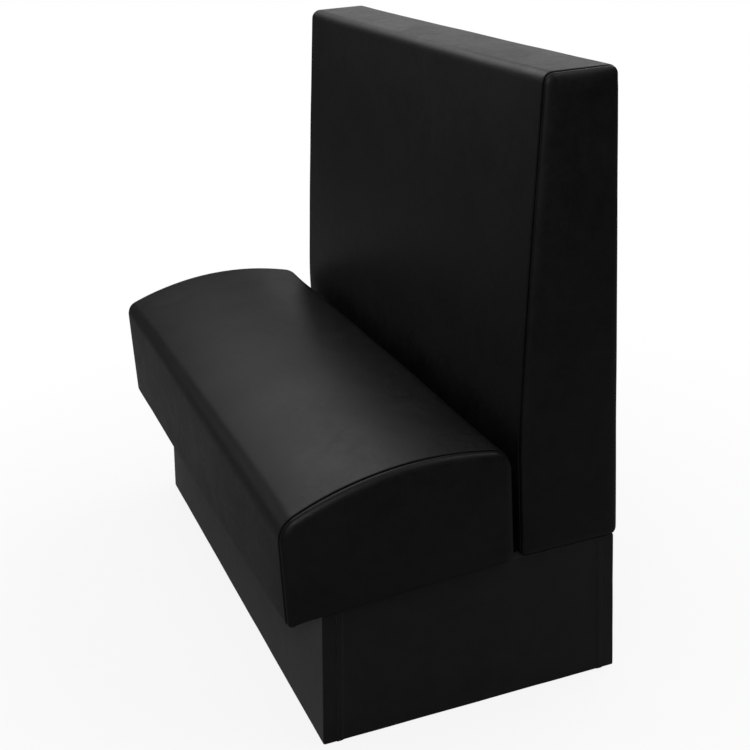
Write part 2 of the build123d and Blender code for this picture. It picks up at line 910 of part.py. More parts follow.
def sinuous_spring():
    """One wire that snakes from the front rail to the rear rail in round half-turns."""
    pitch = (spring_rear_y - spring_front_y) / (spring_bar_count - 1)
    bend = pitch / 2
    reach = spring_half_width - bend
    points = [(-reach, spring_front_y, spring_z)]
    side = 1
    for i in range(spring_bar_count - 1):
        centre_y = spring_front_y + i * pitch + bend
        for chord in range(bend_chords + 1):
            turn = pi * chord / bend_chords
            points.append((side * (reach + bend * sin(turn)), centre_y - bend * cos(turn), spring_z))
        side = -side
    points.append((side * reach, spring_rear_y, spring_z))
    start_plane = Plane(origin=points[0], z_dir=(1, 0, 0))
    section = start_plane * RegularPolygon(wire_radius, wire_sides)
    return sweep(section, path=Polyline(*points), transition=Transition.RIGHT)


def seat_springs():
    """All the springs, side by side."""
    spring = sinuous_spring()
    return group([Pos(x, 0, 0) * spring for x in spring_places()])


def spring_clip(y, outward):
    """A steel clip on a rail's top edge, its eye round the spring's end bar."""
    inner = wire_radius + clip_gap
    outer = inner + clip_thickness
    half_side = 180 / fastener_sides
    eye = RegularPolygon(outer, fastener_sides, major_radius=False, rotation=half_side)
    plate = Pos(-clip_plate / 2, -outer + clip_thickness / 2) * Rectangle(clip_plate, clip_thickness)
    profile = eye + plate - RegularPolygon(inner, fastener_sides, major_radius=False, rotation=half_side)
    profile -= Pos(-outer / 2, outer / 2) * Rectangle(outer, outer - clip_thickness)
    clip = extrude(profile, amount=clip_width / 2, both=True)
    face = Plane(origin=(0, y, spring_z), x_dir=(0, -outward, 0), z_dir=(outward, 0, 0))
    return face * clip


def seat_spring_clips():
    """A clip at both ends of each spring."""
    pair = [spring_clip(spring_front_y, -1), spring_clip(spring_rear_y, 1)]
    return group([Pos(x, 0, 0) * clip for x in spring_places() for clip in pair])


def seat_insulator():
    """The felt sheet that lies on the springs, between the rows of clips."""
    eye = wire_radius + clip_gap + clip_thickness
    return block(
        (-seat_rail_x, spring_front_y + eye, insulator_bottom),
        (seat_rail_x, spring_rear_y - eye, insulator_bottom + felt_thickness),
    )


# Seat: padding and covers


def seat_foam():
    """The crowned foam, resting on the frame's edges and on the felt over the springs."""
    foam = seat_middle(vinyl_thickness + soft_gap)
    foam &= block((-seat_length, front_y, seat_rail_top), (seat_length, rear_y, overall_height))
    recess = block(
        (-seat_rail_x - fit_gap, spring_front_y - clip_plate - fit_gap, seat_rail_top - cut_overrun),
        (seat_rail_x + fit_gap, spring_rear_y + clip_plate + fit_gap, foam_recess_top),
    )
    return foam - recess


def seat_front_padding():
    """The thin foam down the front of the front rail."""
    padding = seat_middle(vinyl_thickness + soft_gap)
    region = block(
        (-seat_length, front_y - cut_overrun, 0),
        (seat_length, seat_rail_front_y - soft_gap, seat_rail_top - soft_gap),
    )
    return padding & region


def seat_end_padding():
    """The padding on the right-hand end board."""
    return seat_end(vinyl_thickness + soft_gap)


def seat_cover():
    """The vinyl over the front, top and rear, turned under the front rail."""
    shell = seat_middle(0) - seat_middle(vinyl_thickness)
    opening = block(
        (-seat_length, seat_inner_front_y, 0),
        (seat_length, seat_rail_rear_y, seat_rail_bottom + fit_gap),
    )
    hem = block(
        (-seat_length, seat_inner_front_y, 0),
        (seat_length, rear_y, seat_rail_bottom),
    )
    return shell - opening - hem


def seat_end_cover():
    """The vinyl of the right-hand end of the seat, its whole lower edge sloped."""
    return seat_end(0) - seat_end(vinyl_thickness)


def build():
    """Every sub-part by the name of its node."""
    return {
        "base_front_panel": base_front_panel(),
        "base_rear_panel": base_rear_panel(),
        "base_right_end_panel": base_end_panel(),
        "base_left_end_panel": other_end(base_end_panel()),
        "base_cross_members": base_cross_members(),
        "base_seat_bearer": base_seat_bearer(),
        "base_back_bearer": base_back_bearer(),
        "base_rear_bearer": base_rear_bearer(),
        "base_corner_blocks": base_corner_blocks(),
        "base_corner_screws": group([screw(*place) for place in base_screw_places()]),
        "base_glides": base_glides(),
        "base_front_cover": base_front_cover(),
        "base_rear_cover": base_rear_cover(),
        "base_right_end_cover": base_end_cover(),
        "base_left_end_cover": other_end(base_end_cover()),
        "back_right_gusset": back_end_gusset(),
        "back_left_gusset": other_end(back_end_gusset()),
        "back_inner_gussets": back_inner_gussets(),
        "back_top_rail": back_top_rail(),
        "back_bottom_rail": back_bottom_rail(),
        "back_front_panel": back_front_panel(),
        "back_lower_panel": back_lower_panel(),
        "back_rear_panel": back_rear_panel(),
        "back_foam": back_foam(),
        "back_top_padding": back_top_padding(),
        "back_right_padding": back_end_padding(),
        "back_left_padding": other_end(back_end_padding()),
        "back_cover": back_cover(),
        "back_rear_cover": back_rear_cover(),
        "back_right_end_cover": back_end_cover(),
        "back_left_end_cover": other_end(back_end_cover()),
        "back_top_screws": group([screw(*place) for place in top_screw_places()]),
        "back_lag_bolts": back_lag_bolts(),
        "back_bolt_washers": back_bolt_washers(),
        "seat_front_rail": seat_front_rail(),
        "seat_rear_rail": seat_rear_rail(),
        "seat_right_rail": seat_side_rail(),
        "seat_left_rail": other_end(seat_side_rail()),
        "seat_right_board": seat_end_board(),
        "seat_left_board": other_end(seat_end_board()),
        "seat_cross_rails": seat_cross_rails(),
        "seat_locators": seat_locators(),
        "seat_corner_blocks": seat_corner_blocks(),
        "seat_corner_screws": group([screw(*place) for place in seat_screw_places()]),
        "seat_springs": seat_springs(),
        "seat_spring_clips": seat_spring_clips(),
        "seat_insulator": seat_insulator(),
        "seat_foam": seat_foam(),
        "seat_front_padding": seat_front_padding(),
        "seat_right_padding": seat_end_padding(),
        "seat_left_padding": other_end(seat_end_padding()),
        "seat_cover": seat_cover(),
        "seat_right_end_cover": seat_end_cover(),
        "seat_left_end_cover": other_end(seat_end_cover()),
        "seat_dust_cover": seat_dust_cover(),
        "seat_rest_pads": seat_rest_pads(),
    }


os.makedirs("parts", exist_ok=True)
for name, shape in build().items():
    export_step(shape, f"parts/{name}.step")
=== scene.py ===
import math

import bmesh
import bpy
from mathutils import Matrix, Vector, noise

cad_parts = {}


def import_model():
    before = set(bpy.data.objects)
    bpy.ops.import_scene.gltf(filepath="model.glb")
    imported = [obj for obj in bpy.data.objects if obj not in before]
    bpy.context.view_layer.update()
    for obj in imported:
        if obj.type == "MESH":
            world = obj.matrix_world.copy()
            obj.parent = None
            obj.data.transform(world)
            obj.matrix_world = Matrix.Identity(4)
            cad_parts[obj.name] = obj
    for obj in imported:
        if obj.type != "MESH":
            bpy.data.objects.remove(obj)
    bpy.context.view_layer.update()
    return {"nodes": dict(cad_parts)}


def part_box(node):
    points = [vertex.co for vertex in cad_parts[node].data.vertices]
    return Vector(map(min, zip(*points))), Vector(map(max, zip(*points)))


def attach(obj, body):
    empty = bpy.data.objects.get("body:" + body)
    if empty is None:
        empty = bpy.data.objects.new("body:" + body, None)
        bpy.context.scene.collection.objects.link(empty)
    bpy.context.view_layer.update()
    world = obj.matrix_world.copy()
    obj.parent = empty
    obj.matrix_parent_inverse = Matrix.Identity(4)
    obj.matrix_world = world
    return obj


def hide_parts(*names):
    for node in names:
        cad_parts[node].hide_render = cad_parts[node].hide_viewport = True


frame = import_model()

# A restaurant booth in black vinyl: plinth, lift-out seat and raked back.
# Metres. X runs along the bench, -Y is the front, Z is up.

ROOT_BODY = "base_and_back"
SEAT_BODY = "seat"

# Places read from the frame
SEAT_LOW, SEAT_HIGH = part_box("seat_cover")
SEAT_END_LOW, SEAT_END_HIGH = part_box("seat_right_end_cover")
BACK_LOW, BACK_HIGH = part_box("back_cover")
BACK_END_LOW, BACK_END_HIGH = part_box("back_right_end_cover")
WRAP_LOW, WRAP_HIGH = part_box("base_front_cover")
REAR_WRAP_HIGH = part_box("base_rear_cover")[1]
BASE_END_LOW, BASE_END_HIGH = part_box("base_right_end_cover")
BASE_BOARD_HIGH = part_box("base_front_panel")[1]
DUST_LOW, DUST_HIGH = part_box("seat_dust_cover")
LOCATOR_LOW, LOCATOR_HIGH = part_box("seat_locators")
REAR_RAIL_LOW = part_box("seat_rear_rail")[0]

# Walls of the covers
VINYL_WALL = 0.0012
BASE_VINYL_WALL = 0.0011
CLOTH_WALL = 0.0004

# Seams. A step says how far an edge reaches out and how far it turns down. The end covers lie
# a little lower than the main ones and have a flange under the seam, which closes it.
SEAM_HALF_GAP = 0.0033
SEAM_STEP_DOWN = 0.0015
SEAM_STEPS = ((0.0007, 0.00025), (0.0012, 0.0009), (0.0014, 0.0020), (0.00145, 0.0045))
FLANGE_STEPS = (
    (0.0007, 0.00025),
    (0.0012, 0.0009),
    (0.0014, 0.0022),
    (0.0016, 0.0040),
    (0.0090, 0.0050),
)
HEM_STEPS = ((0.0004, 0.0002), (0.0006, 0.0007), (0.0006, 0.0016))
LOWER_ROLL_SHARE = 0.6

# How a cover is blown up, and how far at most. Each cover's unevenness is given as its height,
# its size and its place in the noise.
SEAT_SWELL = 0.003
SEAT_UNEVEN = (0.0009, 0.11, 3.1)
BACK_SWELL = 0.0025
BACK_UNEVEN = (0.0009, 0.14, 11.3)
REAR_SWELL = 0.0015
REAR_UNEVEN = (0.0006, 0.13, 23.3)
END_SWELL = 0.002
REAR_FILL_SHARE = 0.5
FILL_PRESSURE = 4.0
FILL_STIFFNESS = 40
FILL_BENDING = 5
FILL_FRAMES = 20
EVENING_ROUNDS = 40
SHORTEST_EDGE = 0.0003

# Steps along the outlines. Opposite sides of an end have the same number.
LOWER_HALF = 2
UPPER_HALF = 5
ROLL_STEPS = 7
SEAT_SIDE_STEPS = 16
SEAT_CROWN_STEPS = 30
SEAT_BOTTOM_STEPS = SEAT_CROWN_STEPS + 2 * (UPPER_HALF - LOWER_HALF)
SEAT_COLUMNS = 112
SEAT_COLUMNS_CLOSER = 0.35
TURN_UNDER_STEPS = 2
BACK_SIDE_STEPS = 64
BACK_TOP_STEPS = 8
BACK_BOTTOM_STEPS = BACK_TOP_STEPS + 2 * (UPPER_HALF - LOWER_HALF)
BACK_COLUMNS = 96
REAR_COLUMNS = 60
REAR_ROWS = 44

# Seat section
SEAT_SEAM_X = SEAT_END_LOW.x
SEAT_ROLL = SEAT_END_HIGH.x - SEAT_END_LOW.x
SEAT_FRONT_Y = SEAT_LOW.y
SEAT_REAR_Y = SEAT_HIGH.y
SEAT_FRONT_BULGE = 0.003
SEAT_FRONT_SET_IN = 0.004
SEAT_CROWN_FROM_FRONT = 0.265
SEAT_CROWN_Y = SEAT_FRONT_Y + SEAT_CROWN_FROM_FRONT
SEAT_CROWN_Z = 0.4905
SEAT_CROWN_RISE = 0.008
SEAT_CROWN_FORWARD = 0.012
SEAT_ROLL_SPREAD = 0.018
SEAT_END_DOME = 0.005
SEAT_CROWN_RADIUS = 0.580
SEAT_FRONT_ROUND = 0.046
SEAT_REAR_ROUND = 0.040
SEAT_LOWER_FRONT_ROUND = 0.006
SEAT_LOWER_REAR_ROUND = 0.012
SEAT_TURN_UNDER = 0.022
SEAT_FOOT_UNDER_RAIL = 0.0016
SEAT_REAR_FOOT_Z = REAR_RAIL_LOW.z - SEAT_FOOT_UNDER_RAIL
SEAT_REAR_SHORT = 0.001
SEAT_LOWER_SLOPE = (SEAT_REAR_FOOT_Z - SEAT_LOW.z) / (SEAT_REAR_Y - SEAT_FRONT_Y)
CORNER_FOLD_DROP = 0.0032
CORNER_FOLD_SETBACK = 0.011
CORNER_FOLD_WIDTH = 0.009
CORNER_FOLD_HEIGHT = 3 * CORNER_FOLD_WIDTH

# The seat is stuffed fuller towards its far end, as in the photograph
FAR_END_LONGER = 0.013
FAR_END_FRONT = 0.007
FAR_END_RISE = 0.012
FAR_END_ROUND = 0.018
FAR_END_CROWN_FORWARD = 0.04

# Back section
BACK_SEAM_X = BACK_END_LOW.x
BACK_ROLL = BACK_END_HIGH.x - BACK_END_LOW.x
BACK_KINK_Z = 0.471
BACK_KINK_SOFTNESS = 0.03
BACK_TOP_DEPTH = 0.127
BACK_RAKE = math.atan2(BACK_HIGH.y - BACK_TOP_DEPTH - BACK_LOW.y, BACK_HIGH.z - BACK_KINK_Z)
BACK_FRONT_ROUND = 0.018
BACK_REAR_ROUND = 0.014
BACK_ROUND_KEPT = 0.5
BACK_LEAST_ROUND = 0.004
BACK_TOP_FULLER = 0.0028
BACK_TOP_Z = BACK_HIGH.z + BACK_TOP_FULLER
BACK_END_DOME = 0.002
BACK_ROLL_SPREAD = 0.024
BACK_LOWER_FRONT_ROUND = 0.005
BACK_LOWER_REAR_ROUND = 0.010
BACK_EDGE_BULGE = 0.0015
BACK_MIDDLE_BULGE = 0.007
BACK_TURN_UNDER = 0.018
BACK_REAR_LAP = 0.0016
BACK_REAR_SHORT_TOP = 0.0035
BACK_REAR_SHORT_FOOT = 0.001

# Base, whose front leans back over its height
BASE_HEIGHT = 0.265
GLIDE_HEIGHT = 0.005
KICK_LEAN = 0.018
KICK_SLOPE = KICK_LEAN / BASE_HEIGHT
KICK_FOOT_Y = WRAP_LOW.y - GLIDE_HEIGHT * KICK_SLOPE
BASE_CORNER_ROUND = 0.0038
BASE_LEAST_ROUND = 0.0004
WRAP_RETURN = 0.024
HEM_WIDTH = 0.009
HEM_SHARES = (0, 0.35, 0.75, 1)
HEM_EDGE = 0.0012
BASE_FOLD = 0.0215
BASE_TURN_UNDER = 0.012
BASE_LOWER_ROUND = 0.0016
BASE_LOWEST_Z = 0.001
BASE_FOOT_LOWER = (0.0002, 0.001)
BASE_TOP_ROUND = 0.0015
BASE_FOLD_LIFT = 0.0003
CORNER_STEPS = 6
RETURN_STEPS = 5
WRAP_COLUMNS = 80
END_COLUMNS = 60
BASE_ROWS = 24
LOWER_ROUND_STEPS = 4
UPPER_ROUND_STEPS = 3
FOLD_STEPS = 3

# Cloth under the seat
DUST_COLUMNS = 96
DUST_ROWS = 34
DUST_LIFT = 0.0002
SLOT_SPARE = 0.001

# Camera, as solved from the photograph
SENSOR_WIDTH = 36.0
PHOTO_WIDTH = 750.0
CAMERA_PLACE = Vector((2.3764, -0.7605, 1.3973))
CAMERA_AZIMUTH = math.radians(70.608)
CAMERA_ELEVATION = math.radians(21.348)
CAMERA_ROLL = math.radians(-3.688)
CAMERA_FOCAL_PIXELS = 1347.5


# Shader expressions


class Value:
    """A number that flows through a material, so that sums can be written as sums."""

    def __init__(self, graph, socket):
        self.graph = graph
        self.socket = socket

    def _join(self, operation, first, second):
        node = self.graph.add("ShaderNodeMath", {0: first, 1: second}, operation=operation)
        return Value(self.graph, node.outputs[0])

    def __add__(self, other):
        return self._join("ADD", self, other)

    def __radd__(self, other):
        return self._join("ADD", other, self)

    def __sub__(self, other):
        return self._join("SUBTRACT", self, other)

    def __mul__(self, other):
        return self._join("MULTIPLY", self, other)


class Graph:
    """The nodes of a material or a world, with one method that adds any of them."""

    def __init__(self, owner):
        owner.use_nodes = True
        self.owner = owner
        self.tree = owner.node_tree
        self.shader = self.tree.nodes.get("Principled BSDF")
        self.place = self.add("ShaderNodeTexCoord").outputs["Object"]

    def add(self, kind, inputs=None, **settings):
        node = self.tree.nodes.new(kind)
        for name, value in settings.items():
            setattr(node, name, value)
        for key, value in (inputs or {}).items():
            self.feed(node.inputs[key], value)
        return node

    def feed(self, socket, value):
        if isinstance(value, Value):
            value = value.socket
        if isinstance(value, bpy.types.NodeSocket):
            self.tree.links.new(value, socket)
        else:
            socket.default_value = value

    def stretched(self, scale):
        """Object coordinates scaled along each axis."""
        return self.add("ShaderNodeMapping", {"Vector": self.place, "Scale": scale}).outputs[0]

    def noise(self, size, detail=2.0, place=None):
        inputs = {"Vector": place or self.place, "Scale": 1 / size, "Detail": detail}
        return Value(self, self.add("ShaderNodeTexNoise", inputs).outputs[0])

    def cells(self, size):
        inputs = {"Vector": self.place, "Scale": 1 / size}
        return Value(self, self.add("ShaderNodeTexVoronoi", inputs).outputs["Distance"])

    def wave(self, angle):
        return Value(self, self.add("ShaderNodeMath", {0: angle}, operation="SINE").outputs[0])

    def blend(self, amount, first, second):
        """A colour between two colours."""
        inputs = {0: amount, 6: (*first, 1.0), 7: (*second, 1.0)}
        return self.add("ShaderNodeMix", inputs, data_type="RGBA").outputs[2]

    def limited(self, value, low, high):
        """A number moved from one span to 0 to 1, and kept there."""
        node = self.add("ShaderNodeMapRange", {0: value, 1: low, 2: high}, clamp=True)
        return Value(self, node.outputs[0])

    def bumped(self, height, depth):
        """Relief of a depth in metres, seen in the light on the surface."""
        inputs = {"Height": height, "Distance": depth, "Strength": 1.0}
        self.feed(self.shader.inputs["Normal"], self.add("ShaderNodeBump", inputs).outputs[0])

    def surface(self, **inputs):
        """Feeds the shader's inputs, and gives back the material."""
        for key, value in inputs.items():
            self.feed(self.shader.inputs[key.replace("_", " ")], value)
        return self.owner


def finish(name):
    """The graph of a new material."""
    return Graph(bpy.data.materials.new(name))


# Sizes of the vinyl's changes of gloss and tone
SLOW_SIZE = 0.09
RUBBED_SIZE = 0.022
MOTTLE_SIZE = 0.007


def vinyl(name, dark, light, roughness, shine, grain, depth, nap=0.0):
    """Smooth upholstery vinyl: a fine pressed grain and pores, with slow changes of gloss and tone."""
    graph = finish(name)
    pebbles = graph.cells(grain)
    pores = graph.noise(grain / 3, detail=3.0)
    slow = graph.noise(SLOW_SIZE, detail=4.0)
    rubbed = graph.noise(RUBBED_SIZE, detail=3.0)
    mottled = graph.noise(MOTTLE_SIZE, detail=4.0)
    graph.bumped(pebbles * 0.7 + pores * 0.5 + slow * 0.6 + mottled * 1.5, depth)
    gloss = roughness + (slow - 0.5) * 0.12 + (rubbed - 0.5) * 0.12 + (mottled - 0.5) * 0.14
    tone = graph.limited(slow * 0.4 + rubbed * 0.3 + mottled * 0.3, 0.38, 0.62)
    return graph.surface(
        Base_Color=graph.blend(tone, dark, light),
        Roughness=gloss,
        Specular_IOR_Level=shine,
        Sheen_Weight=nap,
    )


def wood(name, dark, light, along, grain=0.004):
    """Board grain drawn out along one axis."""
    graph = finish(name)
    stretch = [1.0, 1.0, 1.0]
    stretch["xyz".index(along)] = 0.06
    place = graph.stretched(stretch)
    streaks = graph.noise(grain, detail=5.0, place=place)
    bands = graph.noise(grain * 6, detail=2.0, place=place)
    tone = graph.limited(streaks * 0.5 + bands * 0.5, 0.35, 0.65)
    graph.bumped(streaks, 0.0003)
    return graph.surface(
        Base_Color=graph.blend(tone, dark, light), Roughness=0.62 + (streaks - 0.5) * 0.2
    )


def felt(name, dark, light, tuft, depth):
    """Pressed felt, with small tufts and broad changes of tone."""
    graph = finish(name)
    tufts = graph.cells(tuft)
    broad = graph.noise(0.05, detail=3.0)
    tone = graph.limited(tufts * 0.6 + broad * 0.4, 0.25, 0.75)
    graph.bumped(tufts, depth)
    return graph.surface(Base_Color=graph.blend(tone, dark, light), Roughness=0.95)


def woven(name, dark, light, thread):
    """Thin plain cloth with a visible weave."""
    graph = finish(name)
    parts = graph.add("ShaderNodeSeparateXYZ", {0: graph.place})
    turn = math.tau / thread
    warp = graph.wave(Value(graph, parts.outputs[0]) * turn)
    weft = graph.wave(Value(graph, parts.outputs[1]) * turn)
    weave = warp * weft
    slow = graph.noise(0.03, detail=3.0)
    tone = graph.limited(weave * 0.3 + slow, 0.2, 0.9)
    graph.bumped(weave, 0.0002)
    return graph.surface(Base_Color=graph.blend(tone, dark, light), Roughness=0.93)


def steel(name, dark, light, roughness):
    """Plated or drawn steel."""
    graph = finish(name)
    spots = graph.noise(0.004, detail=3.0)
    tone = graph.limited(spots, 0.35, 0.65)
    graph.bumped(spots, 0.0001)
    return graph.surface(
        Base_Color=graph.blend(tone, dark, light),
        Metallic=1.0,
        Roughness=roughness + (spots - 0.5) * 0.2,
    )


def moulded(name, dark, light):
    """Nylon of the glides."""
    graph = finish(name)
    spots = graph.noise(0.006, detail=3.0)
    graph.bumped(spots, 0.0002)
    return graph.surface(Base_Color=graph.blend(spots, dark, light), Roughness=0.5 + spots * 0.15)


UPHOLSTERY = vinyl(
    "black_vinyl",
    (0.0030, 0.0030, 0.0031),
    (0.0064, 0.0064, 0.0066),
    roughness=0.43,
    shine=0.25,
    grain=0.0011,
    depth=0.00005,
)
BASE_VINYL = vinyl(
    "base_vinyl",
    (0.0010, 0.0010, 0.0011),
    (0.0054, 0.0054, 0.0056),
    roughness=0.58,
    shine=0.3,
    grain=0.0014,
    depth=0.0001,
    nap=0.15,
)
PLY_TONES = ((0.36, 0.23, 0.12), (0.6, 0.44, 0.27))
PLYWOOD = wood("plywood", *PLY_TONES, "x")
PLYWOOD_DEPTHWAYS = wood("plywood_depthways", *PLY_TONES, "y")
PLYWOOD_UPRIGHT = wood("plywood_upright", *PLY_TONES, "z")
TIMBER = wood("timber", (0.42, 0.27, 0.14), (0.68, 0.5, 0.3), "x", grain=0.007)
FELT = felt("grey_felt", (0.1, 0.1, 0.105), (0.32, 0.32, 0.33), 0.0012, 0.0005)
DUST_CLOTH = woven("dust_cloth", (0.008, 0.008, 0.008), (0.03, 0.03, 0.031), 0.0016)
WIRE = steel("spring_wire", (0.1, 0.1, 0.105), (0.3, 0.3, 0.31), 0.4)
ZINC = steel("zinc_steel", (0.45, 0.44, 0.4), (0.72, 0.71, 0.68), 0.32)
NYLON = moulded("nylon", (0.5, 0.48, 0.43), (0.68, 0.66, 0.6))


# Outlines, as points in a plane


def straight(start, end, steps):
    """Points of a straight side, both ends counted."""
    return [start.lerp(end, i / steps) for i in range(steps + 1)]


def arc(centre, start, end, steps):
    """Points of an arc round a centre, both ends counted."""
    first = start - centre
    sweep = first.angle_signed(end - centre)
    return [centre + Matrix.Rotation(-sweep * i / steps, 2) @ first for i in range(steps + 1)]


def corner_arc(before, corner, after, radius, steps):
    """Points of a round corner between two straight sides."""
    incoming = (before - corner).normalized()
    outgoing = (after - corner).normalized()
    half = incoming.angle(outgoing) / 2
    reach = radius / math.tan(half)
    centre = corner + (incoming + outgoing).normalized() * (radius / math.sin(half))
    return arc(centre, corner + incoming * reach, corner + outgoing * reach, steps)


def chain(*runs):
    """Runs of points joined end to end, each shared point kept once."""
    points = []
    for run in runs:
        points += run[1:] if points else run
    return points


# Mesh helpers


def new_piece(name, points, faces):
    """A mesh as a new object at the origin."""
    mesh = bpy.data.meshes.new(name)
    mesh.from_pydata(points, [], faces)
    piece = bpy.data.objects.new(name, mesh)
    bpy.context.scene.collection.objects.link(piece)
    return piece


def row_quads(width, rows, closed):
    """Quads between rows of points that are numbered one after another."""
    quads = []
    for i in range(rows - 1):
        for j in range(width if closed else width - 1):
            k = (j + 1) % width
            quads.append((i * width + j, i * width + k, (i + 1) * width + k, (i + 1) * width + j))
    return quads


def sheet_of_rows(name, rows):
    """A sheet of quads through open rows of points."""
    points = [point for row in rows for point in row]
    return new_piece(name, points, row_quads(len(rows[0]), len(rows), False))


def capped_rows(name, rows, up, across, dome):
    """Closed rows, and a domed grid of quads that fills the last one.

    The grid is up steps high and across steps wide, and the rows start at its first corner.
    """
    width = len(rows[0])
    points = [point for row in rows for point in row]
    quads = row_quads(width, len(rows), True)
    first = width * (len(rows) - 1)
    number = {}
    for k in range(width):
        if k <= up:
            cell = (k, 0)
        elif k <= up + across:
            cell = (up, k - up)
        elif k <= 2 * up + across:
            cell = (2 * up + across - k, across)
        else:
            cell = (0, 2 * (up + across) - k)
        number[cell] = first + k
    for i in range(1, up):
        for j in range(1, across):
            s, t = i / up, j / across
            rise = (16 * s * (1 - s) * t * (1 - t)) ** 2
            point = blended(points, number, i, j, up, across) + dome * rise
            number[(i, j)] = len(points)
            points.append(point)
    for i in range(up):
        for j in range(across):
            quads.append((number[i, j], number[i, j + 1], number[i + 1, j + 1], number[i + 1, j]))
    return new_piece(name, points, quads)


def blended(points, number, i, j, up, across):
    """A point inside four edges, taken from the edges and less the corners that they share."""
    s, t = i / up, j / across
    edges = points[number[i, 0]] * (1 - t) + points[number[i, across]] * t
    edges += points[number[0, j]] * (1 - s) + points[number[up, j]] * s
    low = points[number[0, 0]] * (1 - t) + points[number[0, across]] * t
    high = points[number[up, 0]] * (1 - t) + points[number[up, across]] * t
    return edges - low * (1 - s) - high * s


def choose(piece):
    """Makes a piece the only selected and active object."""
    for other in bpy.context.selected_objects:
        other.select_set(False)
    piece.select_set(True)
    bpy.context.view_layer.objects.active = piece


def apply_modifiers(piece):
    choose(piece)
    for modifier in list(piece.modifiers):
        bpy.ops.object.modifier_apply(modifier=modifier.name)


def face_towards(piece, direction):
    """Turns all faces one way, so that together they point in a direction."""
    model = bmesh.new()
    model.from_mesh(piece.data)
    bmesh.ops.recalc_face_normals(model, faces=model.faces)
    total = sum((face.normal * face.calc_area() for face in model.faces), Vector())
    if total.dot(direction) < 0:
        bmesh.ops.reverse_faces(model, faces=model.faces)
    model.to_mesh(piece.data)
    model.free()


def evened(piece, moves, kept):
    """Moves of a piece's points, each made the mean of its neighbours' many times over.

    The nearest neighbours count most, and the moves that are kept stay as they are.
    """
    points = [vertex.co for vertex in piece.data.vertices]
    around = [[] for _ in moves]
    for edge in piece.data.edges:
        first, second = edge.vertices
        weight = 1 / max((points[first] - points[second]).length, SHORTEST_EDGE)
        around[first].append((second, weight))
        around[second].append((first, weight))
    totals = [sum(weight for _, weight in near) for near in around]
    for _ in range(EVENING_ROUNDS):
        sums = [sum((moves[j] * weight for j, weight in near), Vector()) for near in around]
        moves = [move if i in kept else sums[i] / totals[i] for i, move in enumerate(moves)]
    return moves


def inflate(piece, cap):
    """Fills a sheet that is held at its edges, as foam does under a sewn cover, and evens it out."""
    model = bmesh.new()
    model.from_mesh(piece.data)
    edge_points = {v.index for edge in model.edges if edge.is_boundary for v in edge.verts}
    model.free()
    held = piece.vertex_groups.new(name="held")
    held.add(list(edge_points), 1.0, "REPLACE")
    flat = [vertex.co.copy() for vertex in piece.data.vertices]
    cloth = piece.modifiers.new("Cloth", "CLOTH")
    cloth.settings.vertex_group_mass = held.name
    cloth.settings.use_pressure = True
    cloth.settings.uniform_pressure_force = FILL_PRESSURE
    cloth.settings.effector_weights.gravity = 0
    cloth.settings.tension_stiffness = FILL_STIFFNESS
    cloth.settings.compression_stiffness = FILL_STIFFNESS
    cloth.settings.bending_stiffness = FILL_BENDING
    cloth.collision_settings.use_collision = False
    for frame_number in range(1, FILL_FRAMES + 1):
        bpy.context.scene.frame_set(frame_number)
    apply_modifiers(piece)
    moves = [vertex.co - start for vertex, start in zip(piece.data.vertices, flat)]
    moves = [move * min(cap / max(move.length, 1e-9), 1) for move in moves]
    for vertex, start, move in zip(piece.data.vertices, flat, evened(piece, moves, edge_points)):
        vertex.co = start + move
    piece.vertex_groups.remove(piece.vertex_groups["held"])
    bpy.context.scene.frame_set(1)


def wander(piece, height, size, seed):
    """Slow, shallow unevenness, as of foam under stretched vinyl."""
    normals = [vertex.normal.copy() for vertex in piece.data.vertices]
    shift = Vector((seed, seed * 2, seed * 3))
    for vertex, normal in zip(piece.data.vertices, normals):
        vertex.co += normal * (height * noise.noise(vertex.co / size + shift))


def turn_in(piece, steps):
    """Rolls every free edge of a sheet inwards, as at a sewn seam or a folded hem."""
    model = bmesh.new()
    model.from_mesh(piece.data)
    model.normal_update()
    rim = [edge for edge in model.edges if edge.is_boundary]
    away, inward, start = {}, {}, {}
    for edge in rim:
        middle = (edge.verts[0].co + edge.verts[1].co) / 2
        face = edge.link_faces[0]
        along = (edge.verts[1].co - edge.verts[0].co).normalized()
        outward = middle - face.calc_center_median()
        outward -= along * outward.dot(along) + face.normal * outward.dot(face.normal)
        for vertex in edge.verts:
            away[vertex] = away.get(vertex, Vector()) + outward.normalized()
            inward[vertex] = -vertex.normal
            start[vertex] = vertex.co.copy()
    origin = {vertex: vertex for vertex in start}
    for out, down in steps:
        made = bmesh.ops.extrude_edge_only(model, edges=rim)["geom"]
        rim = [item for item in made if isinstance(item, bmesh.types.BMEdge) and item.is_boundary]
        fresh = [item for item in made if isinstance(item, bmesh.types.BMVert)]
        found = {}
        for vertex in fresh:
            for edge in vertex.link_edges:
                other = edge.other_vert(vertex)
                if other in origin and other not in fresh:
                    found[vertex] = origin[other]
        for vertex, root in found.items():
            vertex.co = start[root] + away[root].normalized() * out + inward[root] * down
        origin.update(found)
    model.to_mesh(piece.data)
    model.free()


def finish_skin(piece, material, body, thickness, levels=1):
    """Smooths a sheet, gives it its thickness and its finish, and fixes it to its body."""
    if levels:
        smooth = piece.modifiers.new("Smooth", "SUBSURF")
        smooth.levels = levels
        smooth.render_levels = levels
    wall = piece.modifiers.new("Wall", "SOLIDIFY")
    wall.thickness = thickness
    wall.offset = -1
    apply_modifiers(piece)
    bpy.ops.object.shade_smooth()
    piece.data.materials.append(material)
    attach(piece, body)


